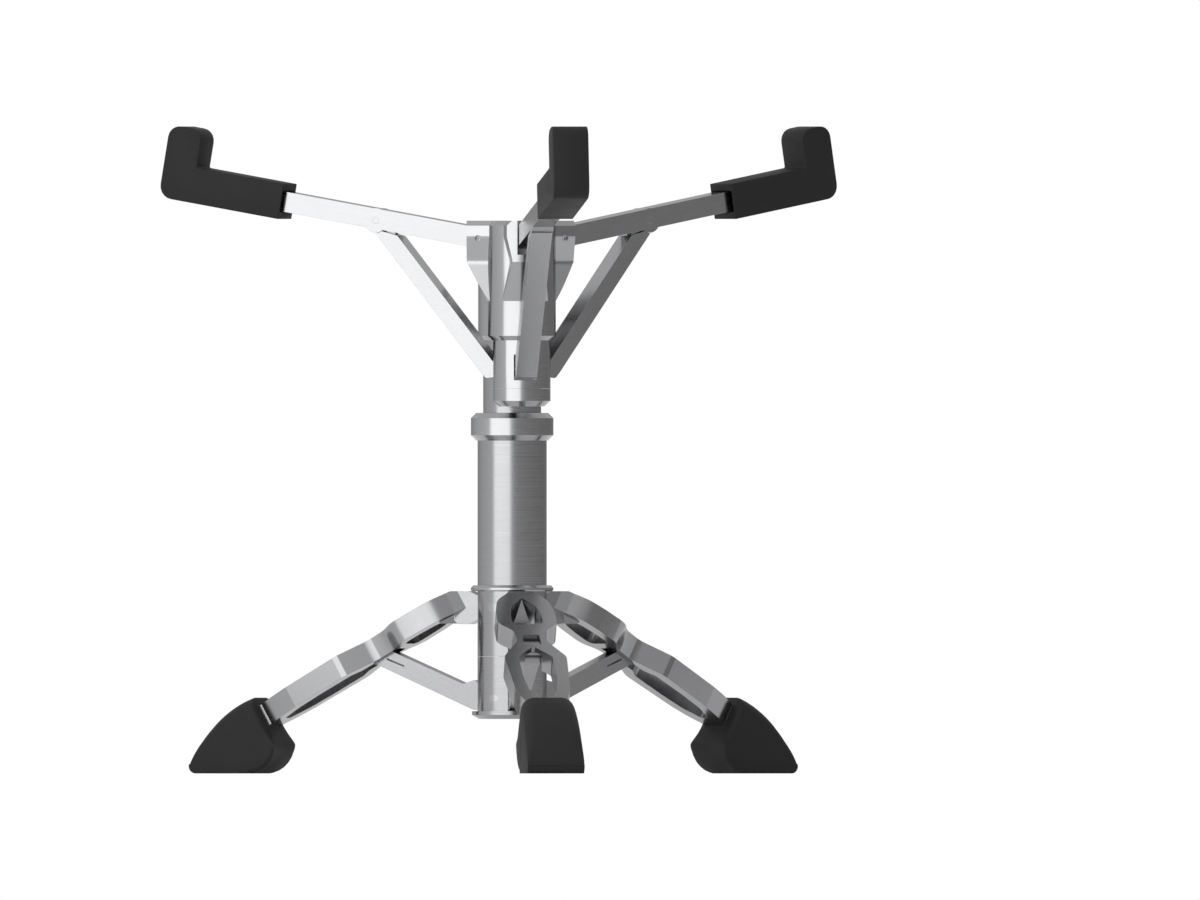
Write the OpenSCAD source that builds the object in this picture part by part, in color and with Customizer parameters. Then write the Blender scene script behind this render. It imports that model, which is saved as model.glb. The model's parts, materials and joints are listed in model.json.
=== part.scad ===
// Snare drum stand: folding tripod, telescopic post, tilting basket with three gripping arms.
// Millimetres, +Z up, the front leg and the front arm point along -Y, the floor is z = 0.

/* [Column] */
// Outer radius of the inner tube that carries the basket
inner_tube_r = 5.2; // [4.8:0.1:5.8]
// Wall of the inner tube
inner_wall = 0.7; // [0.5:0.1:1]
// Wall of the outer tube
outer_wall = 0.6; // [0.5:0.05:0.8]
// Wall of the plastic bushing between the two tubes
bushing_wall = 0.35; // [0.3:0.05:0.6]
// Length of the bushing below the clamp collar
bushing_len = 6; // [4:0.5:12]
// Length of the outer tube between the flange ring and the clamp collar
outer_tube_len = 25.95; // [22:0.5:34]
// Radius that the flange ring stands out from the column
flange_lip = 1.2; // [0.8:0.1:1.8]
// Thickness of the flange ring
flange_h = 1.05; // [0.8:0.05:1.6]
// Radius that the clamp collar stands out from the column
clamp_lip = 1.2; // [0.8:0.1:1.8]
// Height of the clamp collar
clamp_h = 4.95; // [4.2:0.1:7]
// Chamfer of the clamp collar
clamp_chamfer = 0.95; // [0.4:0.05:1.1]
// Length of inner tube that shows between the clamp collar and the tilter bracket
inner_show_len = 13; // [12.6:0.2:20]
// Height of the spigot that the outer tube sits on
spigot_h = 2.2; // [1.5:0.1:3]

/* [Tripod] */
// Slope of the legs under the horizontal, degrees
leg_slope = 29.3; // [27:0.1:32]
// Radius from the post axis at which a leg enters its foot
leg_spread_r = 46.8; // [45:0.2:52]
// Height of the leg's middle where it enters the foot
leg_entry_z = 10.4; // [10:0.05:11]
// Radius at which the flat tongue of a leg bends down
leg_bend_r = 11.2; // [10.8:0.1:12]
// Thickness of a leg plate
leg_t = 4; // [3.8:0.1:4.6]
// Width of the upper leg lobe
upper_lobe_w = 10.8; // [10:0.1:11.6]
// Width of the lower leg lobe
lower_lobe_w = 11.2; // [10.4:0.1:12]
// Width of the leg's waist, where its strut is hinged
waist_w = 5.2; // [5:0.1:6]
// Width of the neck that enters the foot
neck_w = 6.6; // [6:0.1:6.8]
// Width of the metal left around a leg window
leg_rim = 2.55; // [2.2:0.05:2.8]
// Height of the tongue in the leg hub
tongue_h = 5.9; // [5.6:0.1:6.3]
// Thickness of the tongue and of the struts
tongue_t = 3; // [2.8:0.1:3.2]
// Depth of the leg and strut hinges under the column's surface
hinge_inset = 1.6; // [1.5:0.05:1.7]
// Radius of the leg hinge pins
leg_pin_r = 0.8; // [0.7:0.05:0.9]
// Distance from the leg hinges down to the strut hinges
hinge_drop = 16.25; // [15.8:0.1:16.6]
// Depth of the knee pin under the top of the leg plate
knee_depth = 2.6; // [2.5:0.05:2.7]
// Radius of the knee and strut pins
strut_pin_r = 0.7; // [0.6:0.05:0.75]
// Half height of a strut
strut_half_h = 1.7; // [1.5:0.05:1.75]
// Radius of the guide rod of the lower collar
guide_rod_r = 2.4; // [2.1:0.05:2.45]
// Radius that the bottom flange stands out from the column
foot_flange_lip = 1; // [0.6:0.1:1.4]
// Thickness of the bottom flange
foot_flange_h = 1.4; // [1.2:0.1:1.8]

/* [Feet] */
// Height of a rubber foot at its ridge
foot_h = 13.85; // [13.4:0.1:15]
// Length of a foot in front of the leg's entry
foot_toe = 13.8; // [13:0.1:15]
// Width of a foot's sole
foot_w = 10.3; // [9.6:0.1:11.4]
// Width of a foot at its ridge
foot_top_w = 7.7; // [7.6:0.1:8.8]
// Height at which the sides of a foot turn in to its ridge
foot_shoulder_z = 10.6; // [9.6:0.1:11.4]
// Radius of the curve over a foot
foot_crown_r = 19.8; // [17:0.2:24]
// Depth of the socket in a foot
foot_socket = 6; // [4:0.2:6.6]

/* [Basket] */
// Outer radius of the two barrels
barrel_r = 6.1; // [5.9:0.05:6.3]
// Gap between the two barrels
barrel_gap = 1; // [0.8:0.1:3.8]
// Height of the barrels
barrel_h = 21.45; // [20.6:0.1:24]
// Outer radius of the sliding sleeve
sleeve_r = 5.15; // [5:0.05:5.25]
// Radius of the hub at its lobes
lobe_r = 9.9; // [9:0.1:10.2]
// Width of a hub lobe
lobe_w = 7.8; // [7:0.1:8.2]
// Slope of the arms, degrees
arm_slope = 9.75; // [9:0.25:11]
// Radius of the arm hinges from the basket axis
arm_hinge_r = 6.9; // [6.6:0.1:7]
// Depth of the arm hinges under the hub's top
arm_hinge_drop = 3.2; // [2.9:0.1:3.4]
// Thickness of the arms and braces
arm_t = 3.8; // [3.4:0.1:4]
// Height of an arm
arm_h = 3.6; // [3.4:0.1:3.8]
// Distance along an arm from its hinge to its brace
brace_reach = 20.9; // [20:0.1:22]
// Depth of the brace hinge under the middle of the arm
brace_drop = 0.3; // [0.2:0.05:0.4]
// Width of a brace
brace_w = 3; // [2.6:0.1:3.2]
// Depth of the braces' lower hinges under the hub's top
brace_foot_drop = 26.5; // [26:0.1:27]
// Radius of the braces' lower hinges from the basket axis
brace_foot_r = 3.3; // [3.2:0.05:3.4]
// Radius of the pins in the arms and braces
arm_pin_r = 0.6; // [0.5:0.05:0.65]
// Clearance at the opened hinge between a brace and the sleeve
open_gap = 0.22; // [0.2:0.01:0.28]
// Radius of the threaded spindle
spindle_r = 1.5; // [1.3:0.05:1.55]
// Height of the grip nut
nut_h = 3.2; // [2.8:0.1:3.6]
// Depth of the tilt axis under the hub's top
tilt_drop = 6.6; // [6.4:0.1:6.8]
// Radius of the tilt bolt
tilt_bolt_r = 1.3; // [1.1:0.05:1.4]
// Radius of the tilt discs
tilt_disc_r = 3.6; // [3.2:0.1:3.8]

/* [Pads] */
// Distance along an arm from its hinge to the pad's mouth
pad_start = 39.1; // [37:0.1:44]
// Distance along an arm from its hinge to the pad's outer face
pad_end = 62.65; // [60:0.1:68]
// Width and height of a pad round its arm
pad_w = 6.4; // [5.8:0.1:7]
// Height of a pad's upright part above the middle of the arm
pad_rise = 9.98; // [9:0.1:12]
// Depth of the open mouth of a pad
mouth_depth = 1.5; // [1:0.1:2.5]

/* [Knobs] */
// Half span of the wings on the tilt nut
tilt_wing_span = 4.6; // [4:0.1:5]
// Half span of the wings on the height screw
height_wing_span = 5.4; // [4.6:0.1:6]
// Radius of the height screw
height_screw_r = 1.2; // [1:0.05:1.3]
// Thickness of the wings
wing_t = 1.3; // [1:0.1:1.6]

/* [Hidden] */
$fn = 96;
// Radial clearance of every shaft in its hole
fit = 0.05;
// Clearance beside a plate in its slot
side_gap = 0.05;
// Gap between two faces that turn on each other
face_gap = 0.02;
// Length by which cuts run past a face
over = 1;
// Facets in a rounded corner of an outline
corner_steps = 6;
leg_angles = [-90, 150, 30];
metal = [0.66, 0.66, 0.67];
dark_metal = [0.45, 0.45, 0.46];
rubber = [0.17, 0.17, 0.18];
plastic = [0.12, 0.12, 0.12];

// Radii of the column, from the inner tube outwards
bushing_r = inner_tube_r + fit + bushing_wall;
column_r = bushing_r + outer_wall;
clamp_r = column_r + clamp_lip;
flange_r = column_r + flange_lip;

// Heights of the tripod, from the feet upwards
leg_rise = (leg_spread_r - leg_bend_r) * tan(leg_slope);
tongue_top_z = leg_entry_z + leg_rise + leg_t / 2 / cos(leg_slope);
leg_hinge_z = tongue_top_z - tongue_h / 2;
hinge_r = column_r - hinge_inset;
strut_hinge_z = leg_hinge_z - hinge_drop;
knee_z = leg_hinge_z - hinge_drop / 2;
knee_r = leg_bend_r + (tongue_top_z - knee_z - knee_depth / cos(leg_slope)) / tan(leg_slope);
knee_len = norm([knee_r - hinge_r, hinge_drop / 2]);
knee_angle = atan2(hinge_drop / 2, knee_r - hinge_r);
slot_w = tongue_t + 2 * side_gap;

// Distances along the top of a leg from its bend
knee_s = (knee_r - leg_bend_r) * cos(leg_slope) + (tongue_top_z - knee_z) * sin(leg_slope);
entry_s = (leg_spread_r - leg_bend_r) / cos(leg_slope);
tip_s = entry_s + foot_socket;

// Lower collar: its slots start under the strut heads
collar_slot_z = strut_hinge_z - strut_half_h - 0.6;
collar_bottom_z = collar_slot_z - foot_flange_h;
// Joint between the lower collar and the leg hub, at a share of the way down to the strut hinges
split_share = 0.54;
split_z = leg_hinge_z - split_share * hinge_drop;
// Eye of a strut on its knee pin, and the height of its widest side toward the bridge over it
strut_eye_r = strut_half_h + 0.4;
bridge_t = 1;
relief_s = sqrt(pow(strut_eye_r + 1.2 * side_gap, 2) - pow(knee_depth - bridge_t, 2));
// Root of a leg, where its tongue widens between upright flanks
root_start = 0.65;
root_len = 1.75;
root_h = 5.8;
// Knuckles of the leg and strut hinges, which swing clear of the guide rod's wall
knuckle_r = hinge_r - guide_rod_r - fit - 0.55;
slot_inner_r = hinge_r - knuckle_r - 0.1;

// Heights of the post: reach of the guide rod above the flange ring, foot of the inner tube above its
// spigot, depths of tube and sleeve in their barrels, and room for the sleeve above its end
guide_rod_reach = 21.5;
tube_foot_gap = 0.5;
tube_in_barrel = 9.4;
sleeve_in_barrel = 7.9;
sleeve_travel = 2.4;
plug_h = 4;
flange_top_z = tongue_top_z + flange_h;
clamp_z = flange_top_z + outer_tube_len;
clamp_top_z = clamp_z + clamp_h;
barrel_z = clamp_top_z + inner_show_len;
hub_top_z = barrel_z + barrel_h;
tube_bottom_z = flange_top_z + spigot_h + tube_foot_gap;
tube_top_z = barrel_z + tube_in_barrel;
guide_rod_top_z = flange_top_z + guide_rod_reach;
bolt_z = clamp_z + clamp_h / 2;

// Distance of the basket axis in front of the post axis
basket_offset = 2 * barrel_r + barrel_gap;
// Chamfer at the lower edge of a barrel
barrel_chamfer = 0.8;
// Places of the basket: sleeve below the braces' hinges, depth of the spindle's end under the hub's top
sleeve_below = 3.6;
spindle_cover = 2;
arm_hinge_z = hub_top_z - arm_hinge_drop;
tilt_z = hub_top_z - tilt_drop;
brace_foot_z = hub_top_z - brace_foot_drop;
sleeve_bottom_z = brace_foot_z - sleeve_below;
spindle_bottom_z = sleeve_bottom_z - nut_h + 0.6;
sleeve_top_z = barrel_z + sleeve_in_barrel;
hub_bore_top_z = sleeve_top_z + sleeve_travel;
arm_slot_w = arm_t + 2 * side_gap + 0.2;
// Angles that an arm turns against its brace as the grip opens and closes
grip_down = 7.3;
grip_up = 5.5;
brace_hinge = arm_point(brace_reach, -brace_drop);
// Point where the middle of a brace meets its foot, and the angle of the brace against the arm
brace_line_foot = [sleeve_r + 0.72, brace_foot_z + 0.14];
brace_fall = atan2(brace_hinge[1] - brace_line_foot[1], brace_hinge[0] - brace_line_foot[0]) - arm_slope;
// Round eye of a brace in the sleeve
foot_eye_r = 1.35;
// Boss of an arm at its brace, and the tab of the brace that enters it
boss_r = 2.2;
tab_t = 1.3;
tab_r = 1.35;
tab_neck = 1.1;
tab_gap = 0.1;
// Steel hook of an arm inside its pad
hook_w = arm_h - 0.6;
hook_end = pad_end - 1.6;
hook_top = pad_rise - 2.5;
// Rounding of a pad's outer corner below, and wall of a pad at its open mouth
pad_round = 1.8;
mouth_wall = 0.8;
// Boss of the wing knobs, and its gap to the clamp collar
knob_r = 2.25;
knob_h = 3.4;
knob_gap = 0.6;
// Seat of a tilt disc on its barrel, and the gap between the two seats
disc_seat = sqrt(barrel_r * barrel_r - tilt_disc_r * tilt_disc_r) - 0.05;
disc_gap = basket_offset - 2 * disc_seat;
disc_rim = 0.1;
// Tilt bolt: distance of its end from the basket axis, and its length behind the bracket's seat
bolt_end_r = 2.9;
bolt_tail = 4.6;
// Lobes of the hub: radius in the barrel's wall at which they start, height down to the cone's end, and
// height of the upright part
lobe_start_r = 0.65 * barrel_r;
lobe_h = 14.5;
lobe_side_h = 7.4;

// The front pad and the back of the side feet set the middle of the footprint
front_reach = basket_offset + arm_point(pad_end - pad_round, pad_round - pad_w / 2)[0] + pad_round;
back_reach = (leg_spread_r + foot_toe - 0.15) * 0.5 + foot_w / 2 * cos(30);
post_y = (front_reach - back_reach) / 2;
basket_y = post_y - basket_offset;

// Point at distance along the arm and height above its middle, in radius and height
function arm_point(along, above) = [
    arm_hinge_r + along * cos(arm_slope) - above * sin(arm_slope),
    arm_hinge_z + along * sin(arm_slope) + above * cos(arm_slope)
];

// Unit vector of a plane vector
function unit(v) = v / norm(v);

// Arc that rounds the corner b between a and c with radius b[2]
function corner(a, b, c) =
    let (p = [b[0], b[1]], u = unit([a[0], a[1]] - p), v = unit([c[0], c[1]] - p))
    let (half = acos(u * v) / 2, m = p + unit(u + v) * b[2] / sin(half))
    let (s = p + u * b[2] / tan(half) - m, e = p + v * b[2] / tan(half) - m)
    let (a0 = atan2(s[1], s[0]), turn = atan2(s[0] * e[1] - s[1] * e[0], s * e))
    [for (k = [0:corner_steps]) let (at = a0 + turn * k / corner_steps) m + b[2] * [cos(at), sin(at)]];

// Outline with its corners rounded: each point is [x, y, radius], or [x, y] where it stays sharp
function rounded(pts) = [
    for (i = [0:len(pts) - 1])
        each (len(pts[i]) < 3 || pts[i][2] == 0)
            ? [[pts[i][0], pts[i][1]]]
            : corner(pts[(i + len(pts) - 1) % len(pts)], pts[i], pts[(i + 1) % len(pts)])
];

// Outline of a shape that is the same on both sides of its long axis
function both_sides(pts) = concat(pts, [for (i = [len(pts) - 1:-1:0]) [pts[i][0], -pts[i][1], pts[i][2]]]);

// Points of an arc of radius r that bulges out from a to c
function bulge(a, c, r, steps) =
    let (mid = (a + c) / 2, half = norm(c - a) / 2, n = unit([a[1] - c[1], c[0] - a[0]]))
    let (m = mid + n * -sqrt(r * r - half * half), a0 = atan2(a[1] - m[1], a[0] - m[0]))
    let (sweep = 2 * asin(half / r))
    [for (k = [1:steps - 1]) m + r * [cos(a0 - sweep * k / steps), sin(a0 - sweep * k / steps)]];

module at_post(i) translate([0, post_y, 0]) rotate([0, 0, leg_angles[i]]) children();
module at_basket(i) translate([0, basket_y, 0]) rotate([0, 0, leg_angles[i]]) children();

// Upright slab of a flat outline drawn in radius and height
module slab(w) rotate([90, 0, 0]) linear_extrude(w, center = true) children();

// Cylinder across a slab at a point in radius and height
module cross_pin(p, r, w) translate([p[0], 0, p[1]]) rotate([90, 0, 0])
    cylinder(r = r, h = w, center = true);

// Ring turned from an outline of radius and height
module turned(pts) rotate_extrude() polygon(pts);

// Frame on top of a leg: x runs down the leg from its bend, z stands up from the plate
module on_leg() translate([leg_bend_r, 0, tongue_top_z]) rotate([0, leg_slope, 0]) children();

module outer_tube() color(metal) translate([0, post_y, flange_top_z]) difference() {
    cylinder(r = column_r, h = outer_tube_len);
    translate([0, 0, -over]) cylinder(r = bushing_r, h = outer_tube_len + 2 * over);
}

module clamp_collar() color(metal) translate([0, post_y, clamp_z]) difference() {
    turned([
        [bushing_r, 0], [clamp_r - clamp_chamfer, 0], [clamp_r, clamp_chamfer],
        [clamp_r, clamp_h - clamp_chamfer], [clamp_r - clamp_chamfer, clamp_h], [bushing_r, clamp_h]
    ]);
    translate([0, 0, clamp_h / 2]) rotate([-90, 0, 0])
        cylinder(r = height_screw_r + fit, h = clamp_r + over);
}

module clamp_bushing() color(plastic) translate([0, post_y, clamp_z - bushing_len]) difference() {
    cylinder(r = bushing_r, h = bushing_len + clamp_h);
    translate([0, 0, -over]) cylinder(r = inner_tube_r + fit, h = bushing_len + clamp_h + 2 * over);
}

// Wings of a screw or nut that is turned by hand, on an axis along y
module wings(span) {
    rotate([-90, 0, 0]) cylinder(r = knob_r, h = knob_h);
    for (side = [-1, 1]) translate([0, knob_h * 0.2, -wing_t / 2]) linear_extrude(wing_t) polygon(rounded([
        [0, 0], [side * knob_r, 0], [side * span, knob_h * 0.35, 0.8],
        [side * span, knob_h * 1.25, 0.8], [side * knob_r * 0.8, knob_h * 0.75], [0, knob_h * 0.75]
    ]));
}

module height_wing_screw() color(metal) translate([0, post_y, bolt_z]) {
    translate([0, bushing_r + fit, 0]) rotate([-90, 0, 0])
        cylinder(r = height_screw_r, h = clamp_r - bushing_r + 2 * knob_gap);
    translate([0, clamp_r + knob_gap, 0]) wings(height_wing_span);
}

module flange_ring() color(metal) translate([0, post_y, tongue_top_z]) difference() {
    turned([
        [0, 0], [flange_r - 0.2, 0], [flange_r, 0.2], [flange_r, flange_h - 0.45],
        [flange_r - 0.45, flange_h], [bushing_r, flange_h], [bushing_r, flange_h + spigot_h],
        [0, flange_h + spigot_h]
    ]);
    translate([0, 0, -over]) cylinder(r = guide_rod_r + fit, h = flange_h + spigot_h + 2 * over);
}

// Slot for a plate that swings in the column
module hinge_slot(low, high) translate([slot_inner_r, -slot_w / 2, low])
    cube([column_r, slot_w, high - low]);

// Hinge pin across a slot, dressed flush with the column
module column_pin(z, r) intersection() {
    cross_pin([hinge_r, z], r, 2 * column_r);
    cylinder(r = column_r, h = hub_top_z);
}

module leg_hub() color(metal) difference() {
    translate([0, post_y, split_z + face_gap]) difference() {
        cylinder(r = column_r, h = tongue_top_z - split_z - face_gap);
        translate([0, 0, -over]) cylinder(r = guide_rod_r + fit, h = tongue_top_z);
    }
    for (i = [0:2]) at_post(i) {
        hinge_slot(split_z - over, tongue_top_z + over);
        cross_pin([hinge_r, leg_hinge_z], leg_pin_r, 4 * column_r);
    }
}

module leg_hinge_pins() color(dark_metal) for (i = [0:2]) at_post(i) column_pin(leg_hinge_z, leg_pin_r);

module lower_collar() color(metal) difference() {
    translate([0, post_y, 0]) turned([
        [guide_rod_r, collar_bottom_z], [column_r - 0.2, collar_bottom_z],
        [column_r + foot_flange_lip, collar_bottom_z + foot_flange_h / 2],
        [column_r + foot_flange_lip, collar_bottom_z + foot_flange_h],
        [column_r, collar_bottom_z + foot_flange_h], [column_r, split_z], [guide_rod_r, split_z]
    ]);
    for (i = [0:2]) at_post(i) {
        hinge_slot(collar_slot_z, split_z + over);
        cross_pin([hinge_r, strut_hinge_z], strut_pin_r, 4 * column_r);
    }
}

module strut_hinge_pins() color(dark_metal) for (i = [0:2]) at_post(i)
    column_pin(strut_hinge_z, strut_pin_r);

module guide_rod() color(dark_metal) translate([0, post_y, collar_bottom_z])
    cylinder(r = guide_rod_r, h = guide_rod_top_z - collar_bottom_z);

// Outline of a leg on its slope, from the tongue to the tip in the foot
module leg_outline() {
    up = upper_lobe_w / 2;
    low = lower_lobe_w / 2;
    waist = waist_w / 2;
    neck = neck_w / 2;
    polygon(rounded(both_sides([
        [-2.4, tongue_t / 2, 0], [-1, tongue_t / 2, 2], [0.9, waist, 1.5], [3.4, up - 1, 1.5],
        [7.2, up - 0.15, 4], [knee_s - 6.2, up, 1.6], [knee_s - 3.4, waist + 0.3, 1.2],
        [knee_s - 1.7, waist, 0.8],
        [knee_s + 1.2, waist, 0.8], [knee_s + 5.6, low - 0.1, 1], [knee_s + 6.6, low, 1],
        [entry_s - 6.1, low - 0.6, 4], [entry_s - 2.3, neck + 0.6, 1.2], [entry_s - 1.2, neck, 1],
        [tip_s, neck, 1]
    ])));
}

module leg_windows() {
    up = upper_lobe_w / 2 - leg_rim;
    low = lower_lobe_w / 2 - leg_rim;
    polygon(rounded(both_sides([
        [2.3, 0.02, 0], [5.5, up - 0.6, 2], [8.3, up - 0.1, 3], [knee_s - 5.9, up, 1.2]
    ])));
    polygon(rounded(both_sides([
        [knee_s + 2.4, 0.3, 0.1], [knee_s + 5.9, low, 1], [entry_s - 10.1, low, 3],
        [entry_s - 5.5, low - 0.5, 2], [entry_s - 2.1, 1, 0.6]
    ])));
}

// Tongue of a leg in radius and height, from its knuckle to the plate
module leg_tongue() slab(tongue_t) {
    translate([hinge_r, leg_hinge_z]) circle(r = knuckle_r);
    polygon([
        [hinge_r, leg_hinge_z + knuckle_r], [column_r + 0.1, tongue_top_z], [leg_bend_r, tongue_top_z],
        [leg_bend_r + 1.6, tongue_top_z - 1.4], [leg_bend_r + 0.6, tongue_top_z - leg_t - 0.5],
        [leg_bend_r - 1.4, tongue_top_z - tongue_h], [column_r + 0.1, tongue_top_z - tongue_h],
        [hinge_r, leg_hinge_z - knuckle_r]
    ]);
}

// Root of a leg under its bend, cut upright in plan
module leg_root() intersection() {
    translate([leg_bend_r - root_start, 0, 0]) linear_extrude(tongue_top_z) polygon([
        [0, -tongue_t / 2], [root_len, -waist_w / 2 - 0.15],
        [root_len, waist_w / 2 + 0.15], [0, tongue_t / 2]
    ]);
    slab(upper_lobe_w) polygon([
        [leg_bend_r - root_start, tongue_top_z - root_h], [leg_bend_r - root_start, tongue_top_z],
        [leg_bend_r, tongue_top_z], [leg_bend_r + root_len, tongue_top_z - root_len * tan(leg_slope)],
        [leg_bend_r + root_len, tongue_top_z - root_h]
    ]);
}

// Plate of a leg, which also shapes the socket of its foot
module leg_plate() intersection() {
    on_leg() translate([0, 0, -leg_t]) linear_extrude(leg_t) leg_outline();
    translate([0, -upper_lobe_w, 0]) cube([leg_spread_r + foot_toe, 2 * upper_lobe_w, tongue_top_z]);
}

// Room for the strut's end under the waist, in distance along the leg and depth
module strut_relief() on_leg() slab(slot_w) polygon([
    [knee_s - strut_eye_r - side_gap, over], [knee_s + relief_s, over], [knee_s + relief_s, -bridge_t],
    [knee_s + 4.8, -bridge_t], [knee_s + 4.8, -leg_t - over], [knee_s - 4.2, -leg_t - over],
    [knee_s - strut_eye_r - side_gap, -knee_depth + 0.5]
]);

module leg(i) color(metal) at_post(i) difference() {
    union() {
        leg_tongue();
        leg_root();
        leg_plate();
    }
    on_leg() translate([0, 0, -leg_t - over]) linear_extrude(leg_t + 2 * over) leg_windows();
    strut_relief();
    cross_pin([hinge_r, leg_hinge_z], leg_pin_r + fit, 2 * tongue_t);
    cross_pin([knee_r, knee_z], strut_pin_r, 2 * upper_lobe_w);
}

module knee_pin(i) color(dark_metal) at_post(i) cross_pin([knee_r, knee_z], strut_pin_r, waist_w);

// Side outline of a foot, from the point where the leg's middle enters it
module foot_side() {
    ridge = [1.8, foot_h];
    toe = [foot_toe, 1.7];
    polygon(rounded(concat(
        [[-2.6, 0, 5], [-2.6, 5.4, 1.2], [ridge[0], ridge[1], 0.4]],
        [for (p = bulge(ridge, toe, foot_crown_r, 10)) [p[0], p[1], 0]],
        [[toe[0], toe[1], 0], [toe[0] + 0.2, 0, 1.3]]
    )));
}

// Outline of a foot seen along its leg
module foot_front() {
    side = [
        [foot_w / 2, 0, 0.3], [foot_w / 2 - 0.1, foot_shoulder_z, 5], [foot_top_w / 2, foot_h + 0.1, 0.9]
    ];
    polygon(rounded(concat(side, [for (i = [2:-1:0]) [-side[i][0], side[i][1], side[i][2]]])));
}

module foot(i) color(rubber) at_post(i) difference() {
    intersection() {
        translate([leg_spread_r, 0, 0]) slab(2 * foot_w) foot_side();
        translate([leg_spread_r - foot_toe, 0, 0]) rotate([90, 0, 90]) linear_extrude(2 * foot_toe + over)
            foot_front();
    }
    leg_plate();
}

// Strut in its own frame: x runs from its lower hinge to the knee
module strut_side() {
    circle(r = knuckle_r);
    translate([knee_len, 0]) circle(r = strut_eye_r);
    polygon(rounded([
        [-0.4, -2.15, 0.8], [1.5, -2.75, 0.5], [knee_len, -strut_half_h - 0.2, 0],
        [knee_len, strut_half_h - 0.28, 0], [4.95, strut_half_h - 0.85, 0.8], [3.1, 2.35, 0.4],
        [0.5, 1.45, 0.5], [-1, 0.6, 0.4]
    ]));
}

module strut(i) color(metal) at_post(i) translate([hinge_r, 0, strut_hinge_z]) rotate([0, -knee_angle, 0])
    difference() {
        slab(tongue_t) strut_side();
        cross_pin([0, 0], strut_pin_r + fit, 2 * tongue_t);
        cross_pin([knee_len, 0], strut_pin_r + fit, 2 * tongue_t);
        translate([knee_len - 5.8, -tongue_t, -0.45]) cube([3.6, 2 * tongue_t, 0.3]);
    }

module inner_tube() color(metal) translate([0, post_y, tube_bottom_z]) difference() {
    tube_len = tube_top_z - tube_bottom_z;
    cylinder(r = inner_tube_r, h = tube_len);
    translate([0, 0, -over]) cylinder(r = inner_tube_r - inner_wall, h = tube_len + 2 * over);
}

module tube_plug() color(plastic) translate([0, post_y, tube_top_z - plug_h])
    cylinder(r = inner_tube_r - inner_wall - face_gap, h = plug_h);

module tilter_bracket() color(metal) translate([0, post_y, 0]) difference() {
    turned([
        [0, barrel_z], [barrel_r - barrel_chamfer, barrel_z], [barrel_r, barrel_z + barrel_chamfer],
        [barrel_r, hub_top_z - 1.6], [barrel_r - 0.9, hub_top_z - 0.7], [0, hub_top_z - 0.7]
    ]);
    translate([0, 0, barrel_z - over]) cylinder(r = inner_tube_r + fit, h = tube_top_z - barrel_z + over);
    translate([0, 0, tilt_z]) rotate([90, 0, 0]) cylinder(r = tilt_bolt_r, h = 4 * barrel_r, center = true);
    translate([0, -disc_seat - barrel_r, tilt_z])
        rotate([90, 0, 0]) cylinder(r = tilt_disc_r + disc_rim, h = 2 * barrel_r, center = true);
    translate([0, disc_seat + barrel_r, tilt_z])
        rotate([90, 0, 0]) cylinder(r = tilt_wing_span + 2 * disc_rim, h = 2 * barrel_r, center = true);
}

module tilt_bolt() color(dark_metal) translate([0, basket_y + bolt_end_r, tilt_z]) rotate([-90, 0, 0])
    cylinder(r = tilt_bolt_r, h = basket_offset - bolt_end_r + disc_seat + bolt_tail);

module tilt_washer() color(plastic) translate([0, post_y - disc_seat, tilt_z]) rotate([90, 0, 0])
    difference() {
        cylinder(r = tilt_disc_r, h = disc_gap - face_gap);
        translate([0, 0, -over]) cylinder(r = tilt_bolt_r, h = disc_gap + 2 * over);
    }

module tilt_wing_nut() color(metal) translate([0, post_y + disc_seat + face_gap, tilt_z]) difference() {
    wings(tilt_wing_span);
    rotate([-90, 0, 0]) translate([0, 0, -over]) cylinder(r = tilt_bolt_r + fit, h = 3 * knob_h);
}

// Head-on outline of a lobe of the hub, cut from the cone
module lobe_front() {
    half = lobe_w / 2;
    waist = half - 1.05;
    side = [
        [half - 0.9, hub_top_z, 0], [half, hub_top_z - 0.9, 0], [half, hub_top_z - 2.9, 2.5],
        [waist, hub_top_z - lobe_side_h, 3], [half + 0.3, hub_top_z - lobe_h - 0.1, 0]
    ];
    polygon(rounded(concat(side, [for (i = [4:-1:0]) [-side[i][0], side[i][1], side[i][2]]])));
}

module hub_lobes() intersection() {
    turned([
        [0, hub_top_z - lobe_h], [barrel_r - 0.05, hub_top_z - lobe_h], [lobe_r, hub_top_z - lobe_side_h],
        [lobe_r, hub_top_z], [0, hub_top_z]
    ]);
    union() for (a = leg_angles) rotate([90, 0, a + 90]) translate([0, 0, lobe_start_r])
        linear_extrude(lobe_r) lobe_front();
}

module basket_hub() color(metal) translate([0, basket_y, 0]) difference() {
    union() {
        turned([
            [0, barrel_z], [barrel_r - barrel_chamfer, barrel_z], [barrel_r, barrel_z + barrel_chamfer],
            [barrel_r, hub_top_z - 0.9], [barrel_r - 0.9, hub_top_z], [0, hub_top_z]
        ]);
        hub_lobes();
    }
    translate([0, 0, barrel_z - over]) cylinder(r = sleeve_r + fit, h = hub_bore_top_z - barrel_z + over);
    cylinder(r = spindle_r, h = hub_top_z - spindle_cover);
    for (a = leg_angles) rotate([0, 0, a]) {
        translate([arm_hinge_r - arm_h / 2 - 0.3, -arm_slot_w / 2, arm_hinge_z - 2.9])
            cube([lobe_r, arm_slot_w, arm_hinge_drop + 2.9 + over]);
        cross_pin([arm_hinge_r, arm_hinge_z], arm_pin_r, 4 * lobe_w);
    }
    translate([0, bolt_end_r - 0.2, tilt_z]) rotate([-90, 0, 0])
        cylinder(r = tilt_bolt_r + fit, h = barrel_r);
    translate([0, disc_seat + barrel_r, tilt_z]) rotate([90, 0, 0])
        cylinder(r = tilt_disc_r + disc_rim, h = 2 * barrel_r, center = true);
}

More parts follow.
